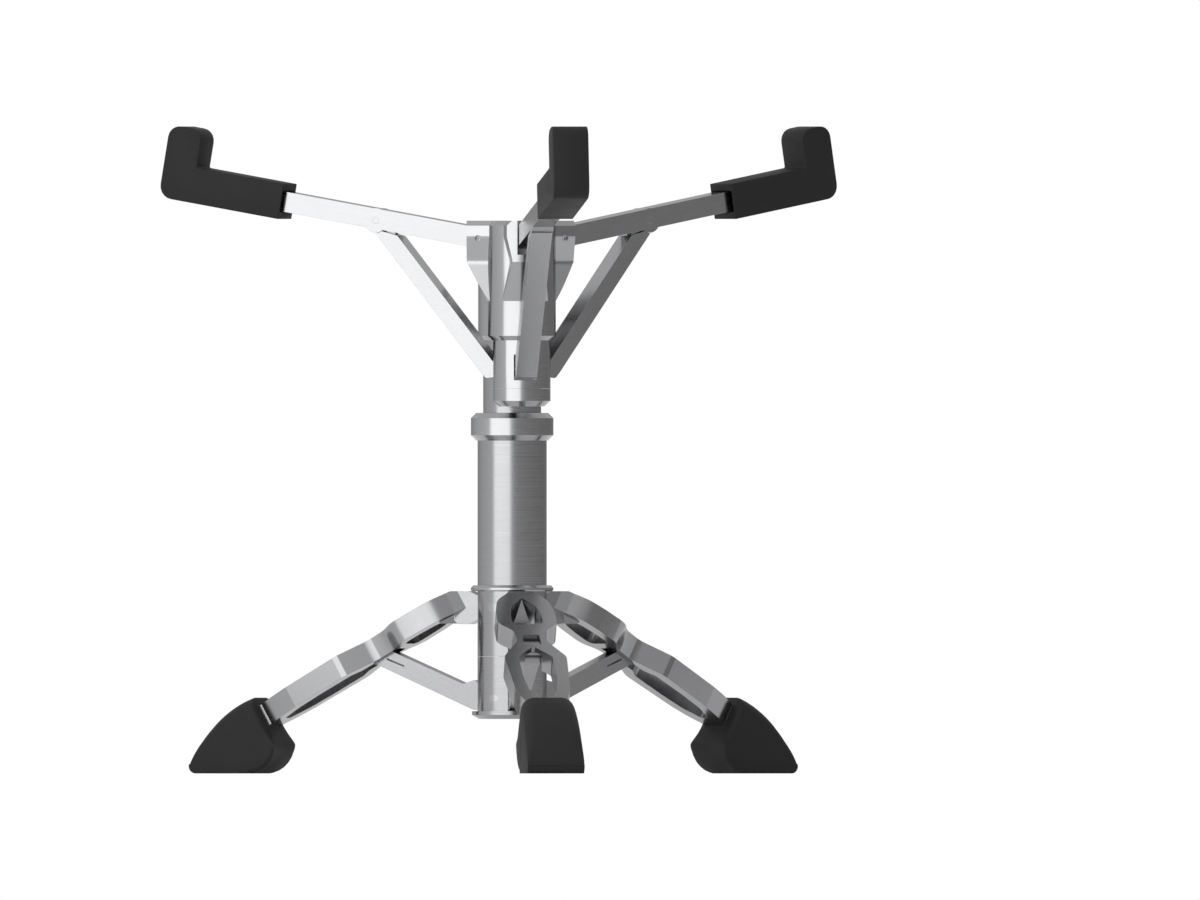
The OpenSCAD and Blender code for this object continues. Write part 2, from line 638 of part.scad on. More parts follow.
module spindle() color(dark_metal) translate([0, basket_y, spindle_bottom_z])
    cylinder(r = spindle_r, h = hub_top_z - spindle_cover - spindle_bottom_z);

module arm_hinge_pins() color(dark_metal) for (i = [0:2]) at_basket(i)
    cross_pin([arm_hinge_r, arm_hinge_z], arm_pin_r, lobe_w);

module grip_sleeve() color(metal) difference() {
    sleeve_len = sleeve_top_z - sleeve_bottom_z;
    translate([0, basket_y, sleeve_bottom_z]) difference() {
        cylinder(r = sleeve_r, h = sleeve_len);
        translate([0, 0, -over]) cylinder(r = spindle_r + fit, h = sleeve_len + 2 * over);
    }
    for (i = [0:2]) at_basket(i) {
        translate([brace_foot_r - foot_eye_r - 0.15, -arm_slot_w / 2, brace_foot_z - foot_eye_r - 0.75])
            cube([sleeve_r, arm_slot_w, 2 * foot_eye_r + 1.9]);
        cross_pin([brace_foot_r, brace_foot_z], arm_pin_r, 4 * sleeve_r);
    }
}

module brace_foot_pins() color(dark_metal) for (i = [0:2]) at_basket(i) intersection() {
    cross_pin([brace_foot_r, brace_foot_z], arm_pin_r, 2 * sleeve_r);
    cylinder(r = sleeve_r, h = hub_top_z);
}

module grip_nut() color(metal) translate([0, basket_y, sleeve_bottom_z - nut_h]) turned([
    [spindle_r + fit, 0], [sleeve_r - 1.1, 0], [sleeve_r, 1], [sleeve_r, nut_h - face_gap],
    [spindle_r + fit, nut_h - face_gap]
]);

// Frame on an arm: x runs out along the arm from its hinge
module on_arm(i) at_basket(i) translate([arm_hinge_r, 0, arm_hinge_z]) rotate([0, -arm_slope, 0])
    children();

// Steel of an arm with the hook that stands up in the pad
module arm_bar() slab(arm_t) {
    circle(r = arm_h / 2);
    polygon(rounded([
        [0, -arm_h / 2], [hook_end, -arm_h / 2, 0.8], [hook_end, hook_top, 0.8],
        [hook_end - hook_w, hook_top, 0.8], [hook_end - hook_w, arm_h / 2], [0, arm_h / 2]
    ]));
}

module arm(i) color(metal) on_arm(i) difference() {
    union() {
        arm_bar();
        cross_pin([brace_reach, -brace_drop], boss_r, arm_t);
    }
    cross_pin([0, 0], arm_pin_r + fit, 2 * arm_t);
    cross_pin([brace_reach, -brace_drop], arm_pin_r, 2 * arm_t);
    slab(tab_t + 2 * side_gap) {
        translate([brace_reach, -brace_drop]) circle(r = tab_r + tab_gap);
        for (turn = [-grip_up, 0, grip_down]) translate([brace_reach, -brace_drop])
            rotate(brace_fall + turn) translate([-3 * boss_r, -tab_neck - tab_gap])
                square([3 * boss_r, 2 * (tab_neck + tab_gap)]);
    }
}

module brace_pin(i) color(dark_metal) on_arm(i) cross_pin([brace_reach, -brace_drop], arm_pin_r, arm_t);

// Brace in radius and height: a bar from the sleeve to the arm, with a foot round its lower hinge
module brace_side() {
    axis = unit(brace_hinge - brace_line_foot);
    n = [-axis[1], axis[0]] * brace_w / 2;
    foot_in = [brace_foot_r, brace_foot_z];
    difference() {
        union() {
            translate(foot_in) circle(r = foot_eye_r);
            polygon(rounded([
                [foot_in[0], foot_in[1] - foot_eye_r, 0],
                [sleeve_r + 1, foot_in[1] - foot_eye_r - 0.4, 0.6],
                [(brace_line_foot - n)[0] + 0.1, (brace_line_foot - n)[1] + 0.1, 0.5],
                brace_hinge - n, brace_hinge + n, brace_line_foot + n + axis * 0.3,
                [foot_in[0], foot_in[1] + foot_eye_r, 0]
            ]));
        }
        translate(brace_hinge) circle(r = boss_r + 0.05);
        for (turn = [-grip_down, 0, grip_up]) translate(brace_hinge) rotate(arm_slope + turn)
            translate([-brace_reach, brace_drop - arm_h / 2 - 0.05]) square([2 * brace_reach, 2 * arm_h]);
    }
}

module brace_tab() {
    axis = unit(brace_hinge - brace_line_foot);
    n = [-axis[1], axis[0]] * tab_neck;
    translate(brace_hinge) circle(r = tab_r);
    polygon([brace_hinge + n, brace_hinge - n, brace_hinge - n - axis * 4, brace_hinge + n - axis * 4]);
}

module brace(i) color(metal) at_basket(i) difference() {
    union() {
        slab(arm_t) brace_side();
        slab(tab_t) brace_tab();
    }
    cross_pin(brace_hinge, arm_pin_r + fit, 2 * arm_t);
    cross_pin([brace_foot_r, brace_foot_z], arm_pin_r + open_gap, 2 * arm_t);
}

module pad(i) color(rubber) on_arm(i) difference() {
    slab(pad_w) polygon(rounded([
        [pad_start, -pad_w / 2, 0.3], [pad_end, -pad_w / 2, pad_round], [pad_end, pad_rise, 2.2],
        [pad_end - pad_w, pad_rise, 2.2], [pad_end - pad_w, pad_w / 2, 0.3], [pad_start, pad_w / 2, 0.3]
    ]));
    arm_bar();
    translate([pad_start - over, 0, 0]) rotate([90, 0, 90]) linear_extrude(over + mouth_depth)
        square(pad_w - 2 * mouth_wall, center = true);
}

outer_tube();
clamp_collar();
clamp_bushing();
height_wing_screw();
flange_ring();
leg_hub();
leg_hinge_pins();
lower_collar();
guide_rod();
strut_hinge_pins();
leg(0);  // leg_front
leg(1);  // leg_left
leg(2);  // leg_right
foot(0);  // foot_front
foot(1);  // foot_left
foot(2);  // foot_right
knee_pin(0);  // knee_pin_front
knee_pin(1);  // knee_pin_left
knee_pin(2);  // knee_pin_right
strut(0);  // strut_front
strut(1);  // strut_left
strut(2);  // strut_right
inner_tube();
tube_plug();
tilter_bracket();
tilt_bolt();
tilt_washer();
tilt_wing_nut();
basket_hub();
spindle();
arm_hinge_pins();
grip_sleeve();
brace_foot_pins();
grip_nut();
arm(0);  // arm_front
arm(1);  // arm_left
arm(2);  // arm_right
pad(0);  // pad_front
pad(1);  // pad_left
pad(2);  // pad_right
brace_pin(0);  // brace_pin_front
brace_pin(1);  // brace_pin_left
brace_pin(2);  // brace_pin_right
brace(0);  // brace_front
brace(1);  // brace_left
brace(2);  // brace_right
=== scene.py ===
"""Snare drum stand: its metal, legs, rubber, wing knobs and studio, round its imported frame."""

import json
import math

import bmesh
import bpy
from bpy.props import FloatProperty, FloatVectorProperty, PointerProperty
from mathutils import Matrix, Vector


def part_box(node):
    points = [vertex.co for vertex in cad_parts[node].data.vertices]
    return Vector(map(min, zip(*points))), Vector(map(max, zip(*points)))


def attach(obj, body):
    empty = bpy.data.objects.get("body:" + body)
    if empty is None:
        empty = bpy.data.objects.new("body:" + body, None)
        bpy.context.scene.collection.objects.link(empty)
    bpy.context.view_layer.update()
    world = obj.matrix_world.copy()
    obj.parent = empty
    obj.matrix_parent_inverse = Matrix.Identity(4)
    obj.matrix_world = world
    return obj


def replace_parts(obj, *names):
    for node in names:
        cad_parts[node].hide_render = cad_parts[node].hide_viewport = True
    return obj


bl_info = {
    "name": "Snare drum stand",
    "version": (1, 0, 0),
    "blender": (4, 5, 0),
    "location": "View3D > Sidebar > Drum stand",
    "description": "Finishes, rubber parts and studio for a folding snare drum stand",
    "category": "Object",
}

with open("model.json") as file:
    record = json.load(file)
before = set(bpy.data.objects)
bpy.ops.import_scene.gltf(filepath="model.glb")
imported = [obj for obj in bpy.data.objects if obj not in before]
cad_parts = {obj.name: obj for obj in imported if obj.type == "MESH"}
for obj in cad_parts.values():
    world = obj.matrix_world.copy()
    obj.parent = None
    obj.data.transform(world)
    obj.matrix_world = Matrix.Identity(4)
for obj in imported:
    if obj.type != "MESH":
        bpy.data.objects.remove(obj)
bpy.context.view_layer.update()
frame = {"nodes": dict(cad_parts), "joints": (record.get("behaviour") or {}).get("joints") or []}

MM = 0.001
SIDES = ("front", "left", "right")
SIDE_ANGLES = {"front": math.radians(-90), "left": math.radians(150), "right": math.radians(30)}

TURNED_PIECES = (
    "clamp_collar", "flange_ring", "tilter_bracket", "basket_hub", "grip_sleeve", "grip_nut",
)
# The tubes, the leg hub and the lower collar get the drawn tube's lines, and its darker colour as painted
# shade
DRAWN_AND_SHADED_PIECES = ("outer_tube", "inner_tube", "leg_hub", "lower_collar")
DRESSED_PINS = ("leg_hinge_pins", "strut_hinge_pins", "brace_foot_pins")
STEEL_PIECES = ("guide_rod", "spindle")
PLASTIC_PIECES = ("clamp_bushing", "tube_plug", "tilt_washer")

# Colours of a finish as shares of its own: darkest and lightest blotch, and where an edge is rubbed
METAL_BLOTCHES, RUBBED_METAL = (0.96, 1.03), 1.2
MOULDED_BLOTCHES, RUBBED_MOULDED = (0.85, 1.15), 1.7
# Noise scales of the brushed lines, per metre, along and across them
BRUSH_ALONG, BRUSH_ACROSS = 400, 9000
TUBE_BRUSH_ALONG, TUBE_BRUSH_ACROSS = 70, 4200
EVEN_GRAIN = (4200, 4200, 4200)
# Bars: share of the metal's colour, and roughness; the shares under 1, on the legs and struts, darken the one
# metal as painted shade
BAR_PAINTED_SHADE_AND_ROUGHNESS = {"leg": (0.85, 0.2), "strut": (0.8, 0.24), "arm": (1, 0.18), "brace": (1, 0.18)}
STRUT_SLOPE = math.radians(21.1)
SHARP_ANGLE = math.radians(35)
MERGE_DISTANCE = 0.001 * MM

# Leg plate, in mm: distance along the leg, half width and corner radius of its outline and windows
LEG_OUTLINE = (
    (-1.2, 1.44, 0), (0.9, 2.6, 1.5), (3.2, 4.6, 5), (7.0, 5.25, 0.3), (11.8, 5.4, 3),
    (14.3, 2.95, 3.5), (17.4, 2.6, 0.3), (18.4, 2.75, 4), (23.6, 5.5, 0.6), (24.6, 5.6, 0.6),
    (35.2, 5.0, 0.3), (38.6, 4.3, 12), (41.4, 3.1, 0.5), (46.8, 3.0, 0.5),
)
LEG_UPPER_WINDOW = ((2.3, 0.02, 0), (5.5, 2.25, 2), (8.3, 2.75, 3), (12.1, 2.85, 1.2))
LEG_LOWER_WINDOW = ((20.4, 0.3, 0.1), (23.9, 3.05, 1), (30.7, 3.05, 3), (35.7, 2.55, 2), (39.3, 1.0, 0.6))
# Slot for the strut, in mm: its top opening, the start of its underside, and the depth where its end slants
SLOT_TOP_START, SLOT_TOP_END, SLOT_FOOT_START = 15.85, 19.45, 13.8
SLOT_SLANT_DEPTH = 2.1
SLOT_HALF_WIDTH = 1.55
# Tongue of a leg, in mm: knuckle, distance of its shoulder from the hinge, and its end as steps out of
# the bend and down from its top
KNUCKLE_RADIUS = 1.6
TONGUE_SHOULDER = 3.2
TONGUE_END = ((-1.4, 5.9), (0.6, 4.5), (1.6, 1.4))
# Root of a leg, in mm: distance from the bend and half width beyond the tongue's, at its start, bend and end
ROOT_STATIONS = ((-0.65, -0.01), (0, 0.34), (1.75, 1.25))
ROOT_DEPTH = 5.8
# Gaps that keep the tops of a leg's tongue, plate and root apart, in mm
PLATE_SINK, ROOT_SINK = 0.01, 0.03

# Hub cheeks beside an arm, in mm: depth where they start to lean in, half width and lean
CHEEK_DEPTH, CHEEK_HALF, CHEEK_LEAN = 2.9, 3.955, 0.244
# Least cosine between an arm and the places that belong to it
ARM_SECTOR = 0.72

# Wing knobs: facets of the boss and its stations as shares of its height and radius
KNOB_FACETS = 12
KNOB_STATIONS = ((0, 0.8), (0.06, 1), (0.21, 1), (0.8, 0.98), (0.93, 0.93), (1, 0.76))
# Cage that is smoothed into a knob: swell of its boss, bore as a share of the bolt's radius, and inset of a
# plain end in mm
KNOB_SWELL, KNOB_BORE, KNOB_INSET = 1.04, 1.16, 0.3
# Wings of a knob: steps of their reach with the tuck of their corners, and heights as shares of the boss
WING_STEPS = ((0.3, 0), (0.72, 0), (0.95, 0.03), (1, 0.17))
WING_FOOT, WING_FOOT_RISE = 0.2, 0.35
WING_ROOT_TOP, WING_TOP = 0.95, 1.45
# Threads: facets round a rod, rings for each turn, and depth as a share of the pitch
THREAD_FACETS, THREAD_RINGS, THREAD_DEPTH = 24, 6, 0.5
# Height screw: length of its plain start in mm, and how far it stands in its knob as a share of the boss
SCREW_PLAIN, SCREW_IN_KNOB = 0.2, 0.1

# Rubber foot, in mm: curve under the heel, height and corner of its back, distance and corner of the ridge
HEEL_CURVE = 5
BACK_HEIGHT, BACK_CORNER = 5.4, 1.2
RIDGE_FROM_HEEL, RIDGE_CORNER = 4.4, 0.5
# Brow over the toe, in mm: distance from the toe and height; then the toe's own radius
BROW_FROM_TOE, BROW_HEIGHT = 0.2, 1.7
TOE_RADIUS = 1.3
# Steps of the crown, the heel's curve and the toe's
CROWN_STEPS, HEEL_STEPS, TOE_STEPS = 18, 7, 5
# Cross section of a foot, as shares of a height: its largest corner, how soft the lowest section is, and
# where on the way up the corners are fully soft
CORNER_SHARE, LOWEST_SOFTNESS, FULLY_SOFT = 0.4, 0.25, 0.6
# In mm: its lower corners at the heel and along the sole, how far its sides stand inside the solid's, and its
# least height
HEEL_EDGE, SOLE_EDGE = 0.9, 0.05
FOOT_PLAY = 0.015
LEAST_HEIGHT = 0.01

# Rubber pad, in mm: corner radii of its outer heel, its upright and its inner corner, wall and rubbed edge
PAD_HEEL_CORNER, PAD_TOP_CORNER, PAD_INNER_CORNER = 2.4, 2.2, 0.3
PAD_WALL = 0.6
PAD_EDGE = 0.14


def middle(node):
    """Middle of a node's box at rest."""
    low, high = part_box(node)
    return (low + high) / 2


post_axis = middle("outer_tube").xy
basket_axis = middle("grip_nut").xy


def joint_place(name):
    """Place of a joint's axis at rest."""
    joint = next(j for j in frame["joints"] if j["name"] == name)
    return Vector(joint["pos_m"])


class StandFinish(bpy.types.PropertyGroup):
    """Colours of the stand's finishes."""

    metal: FloatVectorProperty(
        name="Metal", description="Satin metal of the tubes and bars", subtype="COLOR",
        size=3, min=0, max=1, default=(0.37, 0.372, 0.38),
    )
    pin: FloatVectorProperty(
        name="Pins", description="Darker steel of the pins and bolts", subtype="COLOR",
        size=3, min=0, max=1, default=(0.2, 0.2, 0.205),
    )
    rubber: FloatVectorProperty(
        name="Rubber", description="Rubber of the feet and the arm pads", subtype="COLOR",
        size=3, min=0, max=1, default=(0.0145, 0.0145, 0.015),
    )
    plastic: FloatVectorProperty(
        name="Plastic", description="Moulded plastic of the bushing and washers", subtype="COLOR",
        size=3, min=0, max=1, default=(0.02, 0.02, 0.02),
    )


class StandSizes(bpy.types.PropertyGroup):
    """Sizes of the pieces that are modelled here."""

    foot_crown_radius: FloatProperty(
        name="Foot crown radius", description="Radius of the curve over a foot",
        unit="LENGTH", default=19.8 * MM,
    )
    foot_top_width: FloatProperty(
        name="Foot top width", description="Width of a foot at its ridge", unit="LENGTH", default=9.6 * MM,
    )
    foot_edge: FloatProperty(
        name="Foot edge", description="Rounding of a foot's edges at its ridge",
        unit="LENGTH", default=2.4 * MM,
    )
    leg_slope: FloatProperty(
        name="Leg slope", description="Slope of the legs' plates",
        subtype="ANGLE", default=math.radians(29.3),
    )
    leg_bend: FloatProperty(
        name="Leg bend", description="Distance from the post's axis to the bend of a leg",
        unit="LENGTH", default=11.2 * MM,
    )
    leg_thickness: FloatProperty(
        name="Leg thickness", description="Thickness of a leg's plate", unit="LENGTH", default=4 * MM,
    )
    leg_bridge: FloatProperty(
        name="Leg bridge", description="Thickness of the bridge over the end of the strut",
        unit="LENGTH", default=1 * MM,
    )
    tongue_thickness: FloatProperty(
        name="Tongue thickness", description="Thickness of a leg's tongue in the hub",
        unit="LENGTH", default=3 * MM,
    )
    tongue_height: FloatProperty(
        name="Tongue height", description="Height of a leg's tongue", unit="LENGTH", default=5.9 * MM,
    )
    arm_slope: FloatProperty(
        name="Arm slope", description="Slope of the arms", subtype="ANGLE", default=math.radians(9.75),
    )
    pad_start: FloatProperty(
        name="Pad start", description="Distance along an arm from its hinge to the pad's mouth",
        unit="LENGTH", default=39.1 * MM,
    )
    pad_end: FloatProperty(
        name="Pad end", description="Distance along an arm from its hinge to the pad's outer face",
        unit="LENGTH", default=62.65 * MM,
    )
    pad_width: FloatProperty(
        name="Pad width", description="Width and height of a pad round its arm",
        unit="LENGTH", default=6.4 * MM,
    )
    pad_rise: FloatProperty(
        name="Pad rise", description="Height of a pad's upright part above the middle of the arm",
        unit="LENGTH", default=9.98 * MM,
    )
    pad_mouth: FloatProperty(
        name="Pad mouth", description="Depth of the open mouth of a pad", unit="LENGTH", default=1.5 * MM,
    )
    pad_gape: FloatProperty(
        name="Pad gape", description="Height of the open mouth of a pad", unit="LENGTH", default=3.8 * MM,
    )
    knob_radius: FloatProperty(
        name="Knob radius", description="Radius of the boss of a wing knob",
        unit="LENGTH", default=2.25 * MM,
    )
    knob_height: FloatProperty(
        name="Knob height", description="Height of the boss of a wing knob",
        unit="LENGTH", default=3.4 * MM,
    )
    wing_thickness: FloatProperty(
        name="Wing thickness", description="Thickness of a knob's wings", unit="LENGTH", default=1.3 * MM,
    )
    screw_radius: FloatProperty(
        name="Screw radius", description="Radius of the height screw", unit="LENGTH", default=1.2 * MM,
    )
    bolt_radius: FloatProperty(
        name="Bolt radius", description="Radius of the tilt bolt", unit="LENGTH", default=1.3 * MM,
    )
    thread_pitch: FloatProperty(
        name="Thread pitch", description="Pitch of the screw's and the bolt's thread", unit="LENGTH",
        default=0.5 * MM,
    )


class StudioLight(bpy.types.PropertyGroup):
    """Brightness of the studio."""

    key: FloatProperty(
        name="Key", description="Brightest part of the screen, at the left of the camera",
        default=2.6, min=0,
    )
    fill: FloatProperty(
        name="Fill", description="Dim part of the screen, at the right and behind", default=0.27, min=0,
    )
    ambient: FloatProperty(
        name="Ambient", description="Even light of the room on matt surfaces", default=0.7, min=0,
    )


def finish_of(context):
    return context.scene.stand_finish


def sizes_of(context):
    return context.scene.stand_sizes


class NodeBench:
    """Adds and links nodes in one tree."""

    def __init__(self, tree):
        self.tree = tree

    def add(self, kind, **settings):
        node = self.tree.nodes.new(kind)
        for name, value in settings.items():
            setattr(node, name, value)
        return node

    def link(self, source, target):
        self.tree.links.new(source, target)

    def math(self, operation, first, second):
        """Output of a Math node; each operand is a socket or a number."""
        node = self.add("ShaderNodeMath", operation=operation)
        for socket, operand in zip(node.inputs, (first, second)):
            if isinstance(operand, (int, float)):
                socket.default_value = operand
            else:
                self.link(operand, socket)
        return node.outputs[0]


def new_group(name, inputs, outputs):
    """Shader node group with named sockets, and its inner input and output nodes."""
    tree = bpy.data.node_groups.new(name, "ShaderNodeTree")
    for socket_name, kind, default in inputs:
        socket = tree.interface.new_socket(socket_name, in_out="INPUT", socket_type=kind)
        if default is not None:
            socket.default_value = default
    for socket_name, kind in outputs:
        tree.interface.new_socket(socket_name, in_out="OUTPUT", socket_type=kind)
    bench = NodeBench(tree)
    return tree, bench, bench.add("NodeGroupInput"), bench.add("NodeGroupOutput")


def brushed_lines_group():
    """Fine lines that the brush left in metal, with slow blotches of tone."""
    tree, bench, entry, leave = new_group(
        "Brushed lines",
        [
            ("Vector", "NodeSocketVector", None),
            ("Stretch", "NodeSocketVector", (1000, 1000, 1000)),
            ("Blotch scale", "NodeSocketFloat", 120),
        ],
        [("Lines", "NodeSocketFloat"), ("Blotches", "NodeSocketFloat")],
    )
    stretched = bench.add("ShaderNodeVectorMath", operation="MULTIPLY")
    bench.link(entry.outputs["Vector"], stretched.inputs[0])
    bench.link(entry.outputs["Stretch"], stretched.inputs[1])
    lines = bench.add("ShaderNodeTexNoise")
    lines.inputs["Scale"].default_value = 1
    lines.inputs["Detail"].default_value = 4
    lines.inputs["Roughness"].default_value = 0.65
    bench.link(stretched.outputs[0], lines.inputs["Vector"])
    blotches = bench.add("ShaderNodeTexNoise")
    blotches.inputs["Detail"].default_value = 3
    bench.link(entry.outputs["Vector"], blotches.inputs["Vector"])
    bench.link(entry.outputs["Blotch scale"], blotches.inputs["Scale"])
    bench.link(lines.outputs["Fac"], leave.inputs["Lines"])
    bench.link(blotches.outputs["Fac"], leave.inputs["Blotches"])
    return tree


def worn_edge_group():
    """Softened normal at the edges, and a mask of the bright rubbed line along them."""
    tree, bench, entry, leave = new_group(
        "Worn edge",
        [
            ("Vector", "NodeSocketVector", None),
            ("Radius", "NodeSocketFloat", 0.00015),
            ("Gain", "NodeSocketFloat", 6),
        ],
        [("Normal", "NodeSocketVector"), ("Mask", "NodeSocketFloat")],
    )
    soft = bench.add("ShaderNodeBevel", samples=6)
    bench.link(entry.outputs["Radius"], soft.inputs["Radius"])
    surface = bench.add("ShaderNodeNewGeometry")
    agree = bench.add("ShaderNodeVectorMath", operation="DOT_PRODUCT")
    bench.link(soft.outputs["Normal"], agree.inputs[0])
    bench.link(surface.outputs["Normal"], agree.inputs[1])
    bend = bench.math("SUBTRACT", 1.0, agree.outputs["Value"])
    rubbed = bench.add("ShaderNodeTexNoise")
    rubbed.inputs["Scale"].default_value = 900
    bench.link(entry.outputs["Vector"], rubbed.inputs["Vector"])
    gained = bench.math("MULTIPLY", bend, entry.outputs["Gain"])
    masked = bench.add("ShaderNodeMath", operation="MULTIPLY", use_clamp=True)
    bench.link(gained, masked.inputs[0])
    bench.link(rubbed.outputs["Fac"], masked.inputs[1])
    bench.link(soft.outputs["Normal"], leave.inputs["Normal"])
    bench.link(masked.outputs[0], leave.inputs["Mask"])
    return tree


def moulded_skin_group():
    """Fine stipple and slow tone of moulded rubber or plastic."""
    tree, bench, entry, leave = new_group(
        "Moulded skin",
        [
            ("Vector", "NodeSocketVector", None),
            ("Stipple scale", "NodeSocketFloat", 2600),
            ("Tone scale", "NodeSocketFloat", 160),
        ],
        [("Stipple", "NodeSocketFloat"), ("Tone", "NodeSocketFloat")],
    )
    for scale, detail, target in (("Stipple scale", 2, "Stipple"), ("Tone scale", 5, "Tone")):
        noise = bench.add("ShaderNodeTexNoise")
        noise.inputs["Detail"].default_value = detail
        bench.link(entry.outputs["Vector"], noise.inputs["Vector"])
        bench.link(entry.outputs[scale], noise.inputs["Scale"])
        bench.link(noise.outputs["Fac"], leave.inputs[target])
    return tree


def shared_group(name):
    """The node group of that name, built when it is first asked for."""
    makers = {
        "Brushed lines": brushed_lines_group,
        "Worn edge": worn_edge_group,
        "Moulded skin": moulded_skin_group,
    }
    return bpy.data.node_groups.get(name) or makers[name]()


def place_group(bench, name, values, vector):
    node = bench.add("ShaderNodeGroup", node_tree=shared_group(name))
    for socket, value in values.items():
        node.inputs[socket].default_value = value
    bench.link(vector, node.inputs["Vector"])
    return node


def cleared_bench(holder):
    """Bench on the emptied node tree of a material or a world."""
    holder.use_nodes = True
    holder.node_tree.nodes.clear()
    return NodeBench(holder.node_tree)


def new_material(name):
    """Material with an empty tree but its output, its bench and its Principled shader."""
    material = bpy.data.materials.new(name)
    bench = cleared_bench(material)
    output = bench.add("ShaderNodeOutputMaterial")
    shader = bench.add("ShaderNodeBsdfPrincipled")
    bench.link(shader.outputs["BSDF"], output.inputs["Surface"])
    return material, bench, shader


def ranged(bench, socket, low, high):
    """Map a mask from its usual 0.3 to 0.7 to a range of values."""
    node = bench.add("ShaderNodeMapRange")
    node.inputs["From Min"].default_value = 0.3
    node.inputs["From Max"].default_value = 0.7
    node.inputs["To Min"].default_value = low
    node.inputs["To Max"].default_value = high
    bench.link(socket, node.inputs["Value"])
    return node.outputs["Result"]


def toned(bench, mask, dark, light):
    """Colour between dark and light by a mask."""
    node = bench.add("ShaderNodeMix", data_type="RGBA")
    node.inputs["A"].default_value = (*dark, 1)
    node.inputs["B"].default_value = (*light, 1)
    bench.link(mask, node.inputs["Factor"])
    return node.outputs["Result"]


def scaled(colour, share):
    return tuple(min(1.0, c * share) for c in colour)


def colour_shader(bench, shader, body, rubbed_colour, edge):
    """Colour a shader by its body's tones, and by another colour where its edges are rubbed."""
    rubbed = bench.add("ShaderNodeMix", data_type="RGBA")
    rubbed.inputs["B"].default_value = (*rubbed_colour, 1)
    bench.link(body, rubbed.inputs["A"])
    bench.link(edge.outputs["Mask"], rubbed.inputs["Factor"])
    bench.link(rubbed.outputs["Result"], shader.inputs["Base Color"])


def raise_relief(bench, shader, heights, depth, edge):
    """Give a shader fine relief over its softened edges."""
    bump = bench.add("ShaderNodeBump")
    bump.inputs["Strength"].default_value = 1.0
    bump.inputs["Distance"].default_value = depth
    bench.link(heights, bump.inputs["Height"])
    bench.link(edge.outputs["Normal"], bump.inputs["Normal"])
    bench.link(bump.outputs["Normal"], shader.inputs["Normal"])


def metal_finish(
    name, colour, stretch, turn=0.0, slope=0.0, roughness=0.2, line_depth=0.000002, edge_radius=0.00006,
):
    """Satin metal whose fine lines run along x of a frame turned by turn about z and sloping by slope."""
    material, bench, shader = new_material(name)
    place = bench.add("ShaderNodeTexCoord").outputs["Object"]
    facing = bench.add("ShaderNodeMapping", vector_type="TEXTURE")
    facing.inputs["Rotation"].default_value = Matrix.Rotation(turn, 3, "Z").to_euler()
    bench.link(place, facing.inputs["Vector"])
    sloping = bench.add("ShaderNodeMapping", vector_type="TEXTURE")
    sloping.inputs["Rotation"].default_value = Matrix.Rotation(-slope, 3, "Y").to_euler()
    bench.link(facing.outputs["Vector"], sloping.inputs["Vector"])
    lines = place_group(bench, "Brushed lines", {"Stretch": stretch}, sloping.outputs["Vector"])
    edge = place_group(bench, "Worn edge", {"Radius": edge_radius, "Gain": 1.2}, place)
    body = toned(bench, lines.outputs["Blotches"], *(scaled(colour, share) for share in METAL_BLOTCHES))
    colour_shader(bench, shader, body, scaled(colour, RUBBED_METAL), edge)
    grain = ranged(bench, lines.outputs["Lines"], roughness - 0.03, roughness + 0.05)
    bench.link(grain, shader.inputs["Roughness"])
    raise_relief(bench, shader, lines.outputs["Lines"], line_depth, edge)
    shader.inputs["Metallic"].default_value = 1.0
    return material


def moulded_finish(name, colour, roughness, stipple_depth, sheen):
    """Matt moulded rubber or plastic with a fine stipple and lighter rubbed edges."""
    material, bench, shader = new_material(name)
    place = bench.add("ShaderNodeTexCoord").outputs["Object"]
    skin = place_group(bench, "Moulded skin", {}, place)
    edge = place_group(bench, "Worn edge", {"Radius": 0.00015, "Gain": 1.0}, place)
    body = toned(bench, skin.outputs["Tone"], *(scaled(colour, share) for share in MOULDED_BLOTCHES))
    colour_shader(bench, shader, body, scaled(colour, RUBBED_MOULDED), edge)
    sheen_range = ranged(bench, skin.outputs["Tone"], roughness - 0.06, roughness + 0.06)
    bench.link(sheen_range, shader.inputs["Roughness"])
    shader.inputs["Specular IOR Level"].default_value = sheen
    raise_relief(bench, shader, skin.outputs["Stipple"], stipple_depth, edge)
    return material


def shared_material(context, name):
    """The material of that name, made when it is first asked for."""
    found = bpy.data.materials.get(name)
    if found:
        return found
    colours, sizes = finish_of(context), sizes_of(context)
    if name == "Turned metal":
        stretch = (BRUSH_ALONG, BRUSH_ALONG, BRUSH_ACROSS)
        return metal_finish(name, colours.metal, stretch, roughness=0.16, edge_radius=0.00002)
    # The drawn tube's lines and roughness are its own; its colour, 0.88 of the metal's, is painted shade
    if name == "Drawn tube":
        stretch = (TUBE_BRUSH_ALONG, TUBE_BRUSH_ALONG, TUBE_BRUSH_ACROSS)
        return metal_finish(
            name, scaled(colours.metal, 0.88), stretch, roughness=0.19, line_depth=0.000006,
            edge_radius=0.00002,
        )
    if name == "Pin steel":
        return metal_finish(name, colours.pin, EVEN_GRAIN, roughness=0.32)
    if name == "Cast knob metal":
        return metal_finish(name, colours.metal, EVEN_GRAIN, roughness=0.36)
    if name == "Black rubber":
        return moulded_finish(name, colours.rubber, 0.6, 0.000006, 0.22)
    if name == "Black plastic":
        return moulded_finish(name, colours.plastic, 0.42, 0.000003, 0.5)
    part, side = name.split(" ")[1:]
    slope = {"leg": -sizes.leg_slope, "strut": STRUT_SLOPE}.get(part, sizes.arm_slope)
    # The share darkens the legs and struts as painted shade
    shade, roughness = BAR_PAINTED_SHADE_AND_ROUGHNESS[part]
    return metal_finish(
        name, scaled(colours.metal, shade), (BRUSH_ALONG, BRUSH_ACROSS, BRUSH_ACROSS),
        turn=SIDE_ANGLES[side], slope=slope, roughness=roughness,
    )


def put_on(node_name, material):
    """Give a CAD node its material."""
    for holder in frame["nodes"][node_name].material_slots:
        holder.material = material


